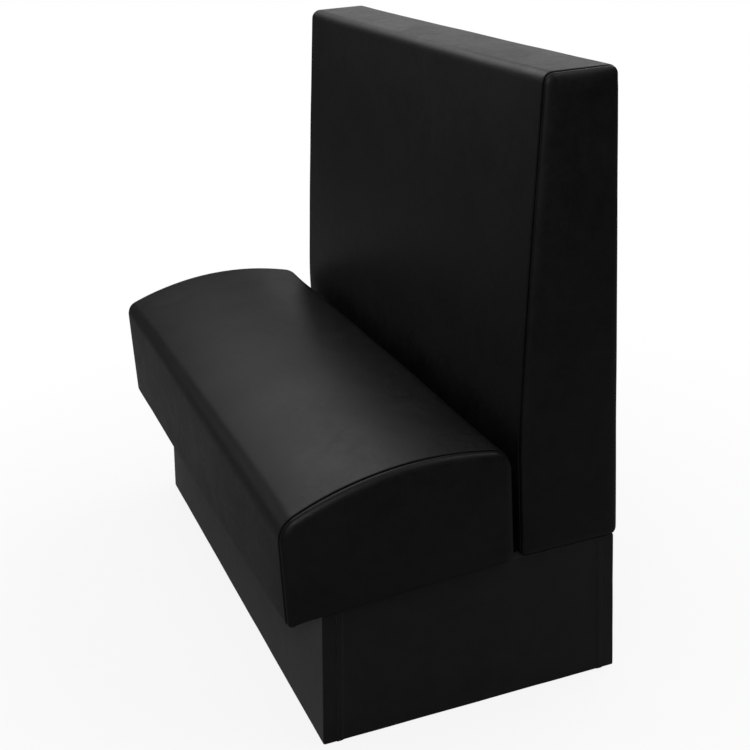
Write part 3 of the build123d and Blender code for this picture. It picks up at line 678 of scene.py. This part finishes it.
def upholster(piece, facing, body, swell, uneven, steps, nodes):
    """Fills a sewn cover, turns its seams in and puts it in the place of the nodes that it shows."""
    face_towards(piece, Vector(facing))
    inflate(piece, swell)
    wander(piece, *uneven)
    turn_in(piece, steps)
    finish_skin(piece, UPHOLSTERY, body, VINYL_WALL)
    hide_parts(*nodes)


def cover_board(piece, facing, uneven, node):
    """Hems a sheet of the plinth's vinyl and stretches it over a board, in the place of its node."""
    face_towards(piece, Vector(facing))
    wander(piece, *uneven)
    turn_in(piece, HEM_STEPS)
    finish_skin(piece, BASE_VINYL, ROOT_BODY, BASE_VINYL_WALL)
    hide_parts(node)


def at_x(x, points):
    """Points of a section as points in space."""
    return [Vector((x, *point)) for point in points]


def roll_rows(ring, side, seam_x, roll, spread):
    """Closed rows that round an end from its seam to its face, which starts a spread further in."""
    rows = [at_x(side * (seam_x + SEAM_HALF_GAP), ring(SEAM_STEP_DOWN))]
    for i in range(1, ROLL_STEPS + 1):
        turn = math.pi / 2 * i / ROLL_STEPS
        out = SEAM_HALF_GAP + (roll - SEAM_HALF_GAP) * math.sin(turn)
        rows.append(at_x(side * (seam_x + out), ring(SEAM_STEP_DOWN + spread * (1 - math.cos(turn)))))
    return rows


# Seat


def under_crown(centre, reach, y):
    """The point at one depth that lies a reach above a centre."""
    return Vector((y, centre.y + math.sqrt(reach**2 - (y - centre.x) ** 2)))


def seat_arcs(inset, crown, far):
    """The three arcs of the seat's section, over its front, its crown and its rear."""
    front = SEAT_FRONT_Y + SEAT_FRONT_SET_IN - SEAT_FRONT_BULGE * crown - FAR_END_FRONT * far + inset
    rear = SEAT_REAR_Y - inset
    radius = SEAT_CROWN_RADIUS - inset
    front_round = SEAT_FRONT_ROUND - FAR_END_ROUND * far - inset
    rear_round = SEAT_REAR_ROUND - inset
    centre_y = SEAT_CROWN_Y - SEAT_CROWN_FORWARD * crown - FAR_END_CROWN_FORWARD * far
    centre_z = SEAT_CROWN_Z - SEAT_CROWN_RADIUS + SEAT_CROWN_RISE * crown + FAR_END_RISE * far
    centre = Vector((centre_y, centre_z))
    front_centre = under_crown(centre, radius - front_round, front + front_round)
    rear_centre = under_crown(centre, radius - rear_round, rear - rear_round)
    crown_start = centre + (front_centre - centre).normalized() * radius
    crown_end = centre + (rear_centre - centre).normalized() * radius
    return (
        arc(front_centre, Vector((front, front_centre.y)), crown_start, 2 * UPPER_HALF),
        arc(centre, crown_start, crown_end, SEAT_CROWN_STEPS),
        arc(rear_centre, crown_end, Vector((rear, rear_centre.y)), 2 * UPPER_HALF),
    )


def seat_foot(y, inset):
    """The point on the seat's lower edge, which hangs lower towards the front."""
    return Vector((y, SEAT_LOW.z + (y - SEAT_FRONT_Y) * SEAT_LOWER_SLOPE + inset * LOWER_ROLL_SHARE))


def seat_ring(inset, far):
    """The closed section of a seat end, from the middle of its lower front corner."""
    front_arc, crown_arc, rear_arc = seat_arcs(inset, 0, far)
    front_foot = seat_foot(front_arc[0].x, inset)
    rear_foot = seat_foot(rear_arc[-1].x, inset)
    steps = 2 * LOWER_HALF
    front_corner = corner_arc(rear_foot, front_foot, front_arc[0], SEAT_LOWER_FRONT_ROUND, steps)
    rear_corner = corner_arc(rear_arc[-1], rear_foot, front_foot, SEAT_LOWER_REAR_ROUND, steps)
    ring = chain(
        front_corner[LOWER_HALF:],
        straight(front_corner[-1], front_arc[0], SEAT_SIDE_STEPS),
        front_arc,
        crown_arc,
        rear_arc,
        straight(rear_arc[-1], rear_corner[0], SEAT_SIDE_STEPS),
        rear_corner,
        straight(rear_corner[-1], front_corner[0], SEAT_BOTTOM_STEPS),
        front_corner[: LOWER_HALF + 1],
    )[:-1]
    return [folded_corner(point) for point in ring]


def folded_corner(point):
    """Lowers the front of the lower edge, where the cover is folded on itself."""
    along = (point.x - SEAT_FRONT_Y - CORNER_FOLD_SETBACK) / CORNER_FOLD_WIDTH
    above = max((point.y - SEAT_LOW.z) / CORNER_FOLD_HEIGHT, 0)
    drop = CORNER_FOLD_DROP * math.exp(-along * along) * max(1 - above, 0)
    return Vector((point.x, point.y - drop))


def seat_strip(crown, far):
    """The open section of the seat's main cover, from its turned-under front to its rear foot."""
    front_arc, crown_arc, rear_arc = seat_arcs(0.0, crown, far)
    front_foot = seat_foot(front_arc[0].x, 0.0)
    rear_foot = Vector((SEAT_REAR_Y, SEAT_REAR_FOOT_Z + SEAT_REAR_SHORT))
    start = seat_foot(front_foot.x + SEAT_TURN_UNDER, 0.0)
    steps = 2 * LOWER_HALF
    front_corner = corner_arc(start, front_foot, front_arc[0], SEAT_LOWER_FRONT_ROUND, steps)
    return chain(
        straight(start, front_corner[0], TURN_UNDER_STEPS),
        front_corner,
        straight(front_corner[-1], front_arc[0], SEAT_SIDE_STEPS),
        front_arc,
        crown_arc,
        rear_arc,
        straight(rear_arc[-1], rear_foot, SEAT_SIDE_STEPS),
    )


def closer_at_ends(i, count):
    """Even steps from -1 to 1, drawn closer together at both ends."""
    even = -1 + 2 * i / count
    return even * (1 + SEAT_COLUMNS_CLOSER * (1 - even * even))


def seat_main_panel():
    """The vinyl over the seat's front, top and rear, crowned between its ends."""
    seam = SEAT_SEAM_X - SEAM_HALF_GAP
    rows = []
    for i in range(SEAT_COLUMNS + 1):
        share = closer_at_ends(i, SEAT_COLUMNS)
        far = (1 - share) / 2
        rows.append(at_x(seam * share - FAR_END_LONGER * far, seat_strip(1 - share * share, far)))
    panel = sheet_of_rows("seat_top_cover", rows)
    nodes = ("seat_cover", "seat_foam", "seat_front_padding")
    upholster(panel, (0, -0.3, 1), SEAT_BODY, SEAT_SWELL, SEAT_UNEVEN, SEAM_STEPS, nodes)


def seat_end_panel(name, side, *nodes):
    """The vinyl of one end of the seat."""
    far = (1 - side) / 2
    seam_x = SEAT_SEAM_X + FAR_END_LONGER * far
    rows = roll_rows(lambda inset: seat_ring(inset, far), side, seam_x, SEAT_ROLL, SEAT_ROLL_SPREAD)
    up = LOWER_HALF + SEAT_SIDE_STEPS + UPPER_HALF
    across = UPPER_HALF + SEAT_CROWN_STEPS + UPPER_HALF
    panel = capped_rows(name, rows, up, across, Vector((side * SEAT_END_DOME, 0, 0)))
    uneven = (0.0004, 0.09, 7.7 + side)
    upholster(panel, (side, 0, 0), SEAT_BODY, END_SWELL, uneven, FLANGE_STEPS, nodes)


# Back


def back_front_y(z, inset, bulge):
    """Depth of the back's front at one height: upright below, raked and a little fuller above."""
    above = z - BACK_KINK_Z
    lean = math.tan(BACK_RAKE) * (above + math.hypot(above, BACK_KINK_SOFTNESS)) / 2
    share = min(max(above / (BACK_TOP_Z - BACK_FRONT_ROUND - BACK_KINK_Z), 0), 1)
    swell = bulge * (4 * share * (1 - share)) ** 1.5
    return BACK_LOW.y + lean + inset - swell


def back_arcs(inset):
    """The two arcs at the top of the back's section, at its front and its rear."""
    top = BACK_TOP_Z - inset
    front_round = max(BACK_FRONT_ROUND - inset * BACK_ROUND_KEPT, BACK_LEAST_ROUND)
    rear_round = max(BACK_REAR_ROUND - inset * BACK_ROUND_KEPT, BACK_LEAST_ROUND)
    centre_z = top - front_round
    lean = math.tan(BACK_RAKE) * (centre_z - BACK_KINK_Z)
    front_centre = Vector((BACK_LOW.y + lean + inset + front_round / math.cos(BACK_RAKE), centre_z))
    rear_centre = Vector((BACK_HIGH.y - inset - rear_round, top - rear_round))
    front_start = front_centre + Vector((-math.cos(BACK_RAKE), math.sin(BACK_RAKE))) * front_round
    rear_end = Vector((BACK_HIGH.y - inset, rear_centre.y))
    return (
        arc(front_centre, front_start, Vector((front_centre.x, top)), 2 * UPPER_HALF),
        arc(rear_centre, Vector((rear_centre.x, top)), rear_end, 2 * UPPER_HALF),
    )


def back_front_side(low_z, end, inset, bulge):
    """Points up the front of the back, ending where its upper corner starts."""
    heights = [low_z + (end.y - low_z) * i / BACK_SIDE_STEPS for i in range(BACK_SIDE_STEPS)]
    return [Vector((back_front_y(z, inset, bulge), z)) for z in heights] + [end]


def back_ring(inset):
    """The closed section of a back end, from the middle of its lower front corner."""
    front_arc, rear_arc = back_arcs(inset)
    foot_z = BACK_LOW.z + inset * LOWER_ROLL_SHARE
    front_foot = Vector((BACK_LOW.y + inset, foot_z))
    rear_foot = Vector((BACK_HIGH.y - inset, foot_z))
    upright = Vector((front_foot.x, BACK_KINK_Z))
    steps = 2 * LOWER_HALF
    front_corner = corner_arc(rear_foot, front_foot, upright, BACK_LOWER_FRONT_ROUND, steps)
    rear_corner = corner_arc(rear_arc[-1], rear_foot, front_foot, BACK_LOWER_REAR_ROUND, steps)
    return chain(
        front_corner[LOWER_HALF:],
        back_front_side(front_corner[-1].y, front_arc[0], inset, BACK_EDGE_BULGE),
        front_arc,
        straight(front_arc[-1], rear_arc[0], BACK_TOP_STEPS),
        rear_arc,
        straight(rear_arc[-1], rear_corner[0], BACK_SIDE_STEPS),
        rear_corner,
        straight(rear_corner[-1], front_corner[0], BACK_BOTTOM_STEPS),
        front_corner[: LOWER_HALF + 1],
    )[:-1]


def back_strip(bulge):
    """The open section of the back's main cover, from its turned-under front to its rear edge."""
    front_arc, rear_arc = back_arcs(0.0)
    front_foot = Vector((BACK_LOW.y, BACK_LOW.z))
    start = Vector((BACK_LOW.y + BACK_TURN_UNDER, BACK_LOW.z))
    upright = Vector((BACK_LOW.y, BACK_KINK_Z))
    steps = 2 * LOWER_HALF
    front_corner = corner_arc(start, front_foot, upright, BACK_LOWER_FRONT_ROUND, steps)
    return chain(
        straight(start, front_corner[0], TURN_UNDER_STEPS),
        front_corner,
        back_front_side(front_corner[-1].y, front_arc[0], 0.0, bulge),
        front_arc,
        straight(front_arc[-1], rear_arc[0], BACK_TOP_STEPS),
        rear_arc,
    )


def back_main_panel():
    """The vinyl over the back's front and top."""
    seam = BACK_SEAM_X - SEAM_HALF_GAP
    rows = []
    for i in range(BACK_COLUMNS + 1):
        share = -1 + 2 * i / BACK_COLUMNS
        bulge = BACK_EDGE_BULGE + (BACK_MIDDLE_BULGE - BACK_EDGE_BULGE) * (1 - share * share)
        rows.append(at_x(seam * share, back_strip(bulge)))
    panel = sheet_of_rows("back_front_cover", rows)
    nodes = ("back_cover", "back_foam", "back_top_padding")
    upholster(panel, (0, -1, 0.2), ROOT_BODY, BACK_SWELL, BACK_UNEVEN, SEAM_STEPS, nodes)


def back_end_panel(name, side, *nodes):
    """The vinyl of one end of the back."""
    rows = roll_rows(back_ring, side, BACK_SEAM_X, BACK_ROLL, BACK_ROLL_SPREAD)
    up = LOWER_HALF + BACK_SIDE_STEPS + UPPER_HALF
    across = UPPER_HALF + BACK_TOP_STEPS + UPPER_HALF
    panel = capped_rows(name, rows, up, across, Vector((side * BACK_END_DOME, 0, 0)))
    uneven = (0.0005, 0.12, 17.9 + side)
    upholster(panel, (side, 0, 0), ROOT_BODY, END_SWELL, uneven, FLANGE_STEPS, nodes)


def back_rear_panel():
    """The flat vinyl of the outside back, laid last over the edges of the end covers."""
    top = BACK_TOP_Z - BACK_REAR_ROUND - BACK_REAR_SHORT_TOP
    bottom = BACK_LOW.z + BACK_REAR_SHORT_FOOT
    seam = BACK_SEAM_X + BACK_REAR_LAP
    xs = [-seam + 2 * seam * j / REAR_COLUMNS for j in range(REAR_COLUMNS + 1)]
    zs = [bottom + (top - bottom) * i / REAR_ROWS for i in range(REAR_ROWS + 1)]
    panel = sheet_of_rows("back_outside_cover", [[Vector((x, BACK_HIGH.y, z)) for x in xs] for z in zs])
    nodes = ("back_rear_cover",)
    facing, fill = (0, 1, 0), REAR_FILL_SHARE
    upholster(panel, facing, ROOT_BODY, REAR_SWELL, REAR_UNEVEN, SEAM_STEPS, nodes)


# Base


def sheet_profile():
    """Insets and heights of a base cover's rows, from its turned-under foot to its top edge."""
    low, high = BASE_LOWEST_Z, BASE_BOARD_HIGH.z + BASE_FOLD_LIFT
    foot = [
        Vector((BASE_TURN_UNDER, WRAP_LOW.z - BASE_FOOT_LOWER[0])),
        Vector((BASE_TURN_UNDER / 2, WRAP_LOW.z - BASE_FOOT_LOWER[1])),
    ]
    centre = Vector((BASE_LOWER_ROUND, low + BASE_LOWER_ROUND))
    lower = arc(centre, Vector((centre.x, low)), Vector((0, centre.y)), LOWER_ROUND_STEPS)
    centre = Vector((BASE_TOP_ROUND, high - BASE_TOP_ROUND))
    upper = arc(centre, Vector((0, centre.y)), Vector((centre.x, high)), UPPER_ROUND_STEPS)
    fold = straight(upper[-1], Vector((BASE_FOLD, high)), FOLD_STEPS)
    return foot + chain(lower, straight(lower[-1], upper[0], BASE_ROWS), upper, fold)


def profile_length(profile):
    """The height of a base cover laid flat."""
    return sum((b - a).length for a, b in zip(profile, profile[1:]))


def wrap_path(outer_y, inward, inset):
    """The plan of a base cover that is turned round both corners, drawn in by inset."""
    side_x = WRAP_HIGH.x - inset
    end_y = outer_y + inward * WRAP_RETURN
    face_y = outer_y + inward * inset
    radius = max(BASE_CORNER_ROUND - inset, BASE_LEAST_ROUND)
    start, first_corner = Vector((side_x, end_y)), Vector((side_x, face_y))
    second_corner, end = Vector((-side_x, face_y)), Vector((-side_x, end_y))
    first = corner_arc(start, first_corner, second_corner, radius, CORNER_STEPS)
    second = corner_arc(first_corner, second_corner, end, radius, CORNER_STEPS)
    return chain(
        straight(start, first[0], RETURN_STEPS),
        first,
        straight(first[-1], second[0], WRAP_COLUMNS),
        second,
        straight(second[-1], end, RETURN_STEPS),
    )


def kick_front_y(z):
    """Depth of the base's front, which leans back towards its top."""
    return KICK_FOOT_Y + z * KICK_SLOPE


def base_wrap(name, node, front):
    """The vinyl on the front or rear of the plinth, turned round both corners."""
    profile = sheet_profile()
    inward = 1 if front else -1
    rows = []
    for inset, z in profile:
        outer_y = kick_front_y(z) if front else REAR_WRAP_HIGH.y
        rows.append([Vector((*point, z)) for point in wrap_path(outer_y, inward, inset)])
    sheet = sheet_of_rows(name, rows)
    flat = (2 * (WRAP_HIGH.x + WRAP_RETURN), profile_length(profile))
    uneven = (0.0003, 0.07, 31.0 + inward)
    cover_board(sheet, (0, -inward, 0), uneven, node)


def base_end_sheet(name, node, side):
    """The vinyl on one end of the plinth, with a doubled hem up its front and rear edges."""
    profile = sheet_profile()
    length = BASE_END_HIGH.y - BASE_END_LOW.y
    inner = HEM_WIDTH + HEM_EDGE
    proud_x, field_x = BASE_END_HIGH.x, WRAP_HIGH.x
    near = [(HEM_WIDTH * share, proud_x) for share in HEM_SHARES] + [(inner, field_x)]
    middle = [(inner + (length - 2 * inner) * i / END_COLUMNS, field_x) for i in range(1, END_COLUMNS)]
    places = near + middle + [(length - distance, x) for distance, x in reversed(near)]
    rear_y = BASE_END_HIGH.y
    rows = []
    for inset, z in profile:
        front_y = kick_front_y(z) + BASE_END_LOW.y - kick_front_y(WRAP_LOW.z)
        row = []
        for distance, x in places:
            y = front_y + (rear_y - front_y) * distance / length
            row.append(Vector((side * (x - inset), y, z)))
        rows.append(row)
    sheet = sheet_of_rows(name, rows)
    flat = (length, profile_length(profile))
    uneven = (0.0005, 0.06, 41.0 + side)
    cover_board(sheet, (side, 0, 0), uneven, node)


# Under the seat


def dust_cover():
    """The thin cloth under the seat's frame, slotted round the locators."""
    width = DUST_HIGH.x - DUST_LOW.x
    length = DUST_HIGH.y - DUST_LOW.y
    xs = [DUST_LOW.x + width * j / DUST_COLUMNS for j in range(DUST_COLUMNS + 1)]
    ys = [DUST_LOW.y + length * i / DUST_ROWS for i in range(DUST_ROWS + 1)]
    z = DUST_LOW.z + DUST_LIFT
    sheet = sheet_of_rows("seat_underside_cloth", [[Vector((x, y, z)) for x in xs] for y in ys])
    face_towards(sheet, Vector((0, 0, -1)))
    cut_slots(sheet, locator_slots(SLOT_SPARE))
    finish_skin(sheet, DUST_CLOTH, SEAT_BODY, CLOTH_WALL, levels=0)
    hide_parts("seat_dust_cover")


def locator_slots(spare):
    """Plan boxes of the four locators, a little larger than they are."""
    node = frame["nodes"]["seat_locators"]
    groups = {}
    for vertex in node.data.vertices:
        key = (vertex.co.x > 0, vertex.co.y > (LOCATOR_LOW.y + LOCATOR_HIGH.y) / 2)
        groups.setdefault(key, []).append(vertex.co)
    slots = []
    for points in groups.values():
        xs = [point.x for point in points]
        ys = [point.y for point in points]
        slots.append((min(xs) - spare, min(ys) - spare, max(xs) + spare, max(ys) + spare))
    return slots


def cut_slots(sheet, slots):
    """Cuts rectangular holes in a level sheet."""
    model = bmesh.new()
    model.from_mesh(sheet.data)
    for low_x, low_y, high_x, high_y in slots:
        for point, normal in (
            ((low_x, 0, 0), (1, 0, 0)),
            ((high_x, 0, 0), (1, 0, 0)),
            ((0, low_y, 0), (0, 1, 0)),
            ((0, high_y, 0), (0, 1, 0)),
        ):
            geometry = model.verts[:] + model.edges[:] + model.faces[:]
            bmesh.ops.bisect_plane(model, geom=geometry, plane_co=point, plane_no=normal)
        inside = []
        for face in model.faces:
            middle = face.calc_center_median()
            if low_x < middle.x < high_x and low_y < middle.y < high_y:
                inside.append(face)
        bmesh.ops.delete(model, geom=inside, context="FACES")
    model.to_mesh(sheet.data)
    model.free()


# Finishes of the rigid pieces, which keep their CAD shape


def dress(material, *names):
    """Gives nodes their finish."""
    for name in names:
        node = frame["nodes"][name]
        node.data.materials.clear()
        node.data.materials.append(material)


def dress_rigid_pieces():
    dress(
        PLYWOOD,
        "base_front_panel",
        "base_rear_panel",
        "base_seat_bearer",
        "back_top_rail",
        "back_bottom_rail",
        "back_front_panel",
        "back_lower_panel",
        "back_rear_panel",
        "seat_front_rail",
        "seat_rear_rail",
    )
    dress(
        PLYWOOD_DEPTHWAYS,
        "base_left_end_panel",
        "base_right_end_panel",
        "base_cross_members",
        "seat_left_rail",
        "seat_right_rail",
        "seat_left_board",
        "seat_right_board",
        "seat_cross_rails",
    )
    dress(PLYWOOD_UPRIGHT, "back_left_gusset", "back_right_gusset", "back_inner_gussets")
    dress(
        TIMBER,
        "base_back_bearer",
        "base_rear_bearer",
        "base_corner_blocks",
        "seat_corner_blocks",
        "seat_locators",
    )
    dress(ZINC, "base_corner_screws", "back_top_screws", "back_lag_bolts", "back_bolt_washers")
    dress(ZINC, "seat_corner_screws", "seat_spring_clips")
    dress(WIRE, "seat_springs")
    dress(FELT, "seat_insulator", "seat_rest_pads")
    dress(NYLON, "base_glides")


# Stage, light and camera

# Shares of the white backdrop that reflections show: with all of it black vinyl would look grey
REFLECTED_WHITE = 0.03
FLOOR_REFLECTED_WHITE = 0.035

STUDIO_GREY = 0.035
FLOOR_SIZE = 30
FLOOR_GREY = 0.2
FLOOR_ROUGHNESS = 0.9
FLOOR_PALE = 0.85

# The share of the floor's look that takes a shadow: whole near the booth, and none further off
FLOOR_SHADE_SHARE = 0.12
SHADE_STARTS = 0.6
SHADE_ENDS = 1.6


def seen_as_white(graph, reflected):
    """The share of white in the backdrop: all to the camera and through glass, less in reflections."""
    rays = graph.add("ShaderNodeLightPath")
    camera = Value(graph, rays.outputs["Is Camera Ray"])
    clear = Value(graph, rays.outputs["Is Transmission Ray"])
    glossy = Value(graph, rays.outputs["Is Glossy Ray"])
    return camera + clear + glossy * reflected


def stage():
    """A wide pale floor that shades to the white of the background and keeps a soft shadow."""
    bpy.ops.mesh.primitive_plane_add(size=FLOOR_SIZE)
    floor = bpy.context.object
    floor.name = "floor"
    graph = finish("floor_white")
    graph.surface(Base_Color=(*(FLOOR_GREY,) * 3, 1.0), Roughness=FLOOR_ROUGHNESS)
    pale = graph.add("ShaderNodeBsdfDiffuse", {"Color": (*(FLOOR_PALE,) * 3, 1.0)})
    glow = graph.add("ShaderNodeEmission", {"Color": (1.0, 1.0, 1.0, 1.0), "Strength": 1.0})
    reach = graph.add("ShaderNodeVectorMath", {0: graph.place}, operation="LENGTH").outputs["Value"]
    shade = graph.limited(reach, SHADE_ENDS, SHADE_STARTS) * FLOOR_SHADE_SHARE
    shown = graph.add("ShaderNodeMixShader", {0: shade, 1: glow.outputs[0], 2: pale.outputs[0]})
    white = seen_as_white(graph, FLOOR_REFLECTED_WHITE)
    inputs = {0: white, 1: graph.shader.outputs[0], 2: shown.outputs[0]}
    mixed = graph.add("ShaderNodeMixShader", inputs)
    graph.feed(graph.tree.nodes["Material Output"].inputs["Surface"], mixed.outputs[0])
    floor.data.materials.append(graph.owner)


def world():
    """White to the camera and a dark grey to light, with a small share of the white in reflections."""
    scene_world = bpy.data.worlds.new("studio")
    graph = Graph(scene_world)
    colour = graph.blend(seen_as_white(graph, REFLECTED_WHITE), (STUDIO_GREY,) * 3, (1.0, 1.0, 1.0))
    graph.feed(graph.tree.nodes["Background"].inputs["Color"], colour)
    bpy.context.scene.world = scene_world


# Each lamp's name, place, aim, size and power in watts
LAMPS = (
    ("over_back", (-0.6, 2.2, 2.8), (0, 0, 0.6), (2.4, 1.6), 38),
    ("far_behind", (-3.4, 2.0, 1.9), (0, 0.2, 1.0), (1.8, 1.2), 6.5),
    ("far_high", (-2.6, -0.2, 2.9), (0, 0, 0.6), (2.6, 2.0), 15),
    ("overhead", (-1.5, -0.6, 3.2), (0, 0, 0.5), (2.6, 2.2), 30),
    ("zenith", (0.5, -0.1, 3.2), (0, 0, 0.5), (2.0, 1.6), 10),
    ("front_left", (-2.6, -3.0, 1.8), (0, 0, 0.5), (2.0, 1.6), 8),
    ("near_end", (3.6, -1.5, 2.4), (0, 0, 0.5), (2.0, 1.6), 42),
    ("behind_near", (1.9, 1.5, 2.8), (0.5, 0.1, 1.0), (1.8, 1.2), 14),
)


def lamp(name, place, aim, size, power):
    """A rectangular soft light aimed at a point."""
    data = bpy.data.lights.new(name, "AREA")
    data.shape = "RECTANGLE"
    data.size, data.size_y = size
    data.energy = power
    light = bpy.data.objects.new(name, data)
    bpy.context.scene.collection.objects.link(light)
    light.location = place
    light.rotation_euler = (Vector(aim) - Vector(place)).to_track_quat("-Z", "Y").to_euler()


def camera():
    """The photograph's view, with its slight roll."""
    data = bpy.data.cameras.new("camera")
    data.sensor_width = SENSOR_WIDTH
    data.lens = SENSOR_WIDTH * CAMERA_FOCAL_PIXELS / PHOTO_WIDTH
    shot = bpy.data.objects.new("camera", data)
    bpy.context.scene.collection.objects.link(shot)
    azimuth, elevation = CAMERA_AZIMUTH, CAMERA_ELEVATION
    back = Vector(
        (
            math.sin(azimuth) * math.cos(elevation),
            -math.cos(azimuth) * math.cos(elevation),
            math.sin(elevation),
        )
    )
    right = Vector((0, 0, 1)).cross(back).normalized()
    up = back.cross(right)
    turned_right = math.cos(CAMERA_ROLL) * right + math.sin(CAMERA_ROLL) * up
    turned_up = math.cos(CAMERA_ROLL) * up - math.sin(CAMERA_ROLL) * right
    turn = Matrix((turned_right, turned_up, back)).transposed().to_4x4()
    shot.matrix_world = Matrix.Translation(CAMERA_PLACE) @ turn
    bpy.context.scene.camera = shot


base_wrap("base_front_vinyl", "base_front_cover", front=True)
base_wrap("base_rear_vinyl", "base_rear_cover", front=False)
base_end_sheet("base_right_vinyl", "base_right_end_cover", 1)
base_end_sheet("base_left_vinyl", "base_left_end_cover", -1)
seat_main_panel()
seat_end_panel("seat_right_end_vinyl", 1, "seat_right_end_cover", "seat_right_padding")
seat_end_panel("seat_left_end_vinyl", -1, "seat_left_end_cover", "seat_left_padding")
back_main_panel()
back_end_panel("back_right_end_vinyl", 1, "back_right_end_cover", "back_right_padding")
back_end_panel("back_left_end_vinyl", -1, "back_left_end_cover", "back_left_padding")
back_rear_panel()
dust_cover()
dress_rigid_pieces()
stage()
world()
for settings in LAMPS:
    lamp(*settings)
camera()
bpy.context.scene.view_settings.view_transform = "Standard"
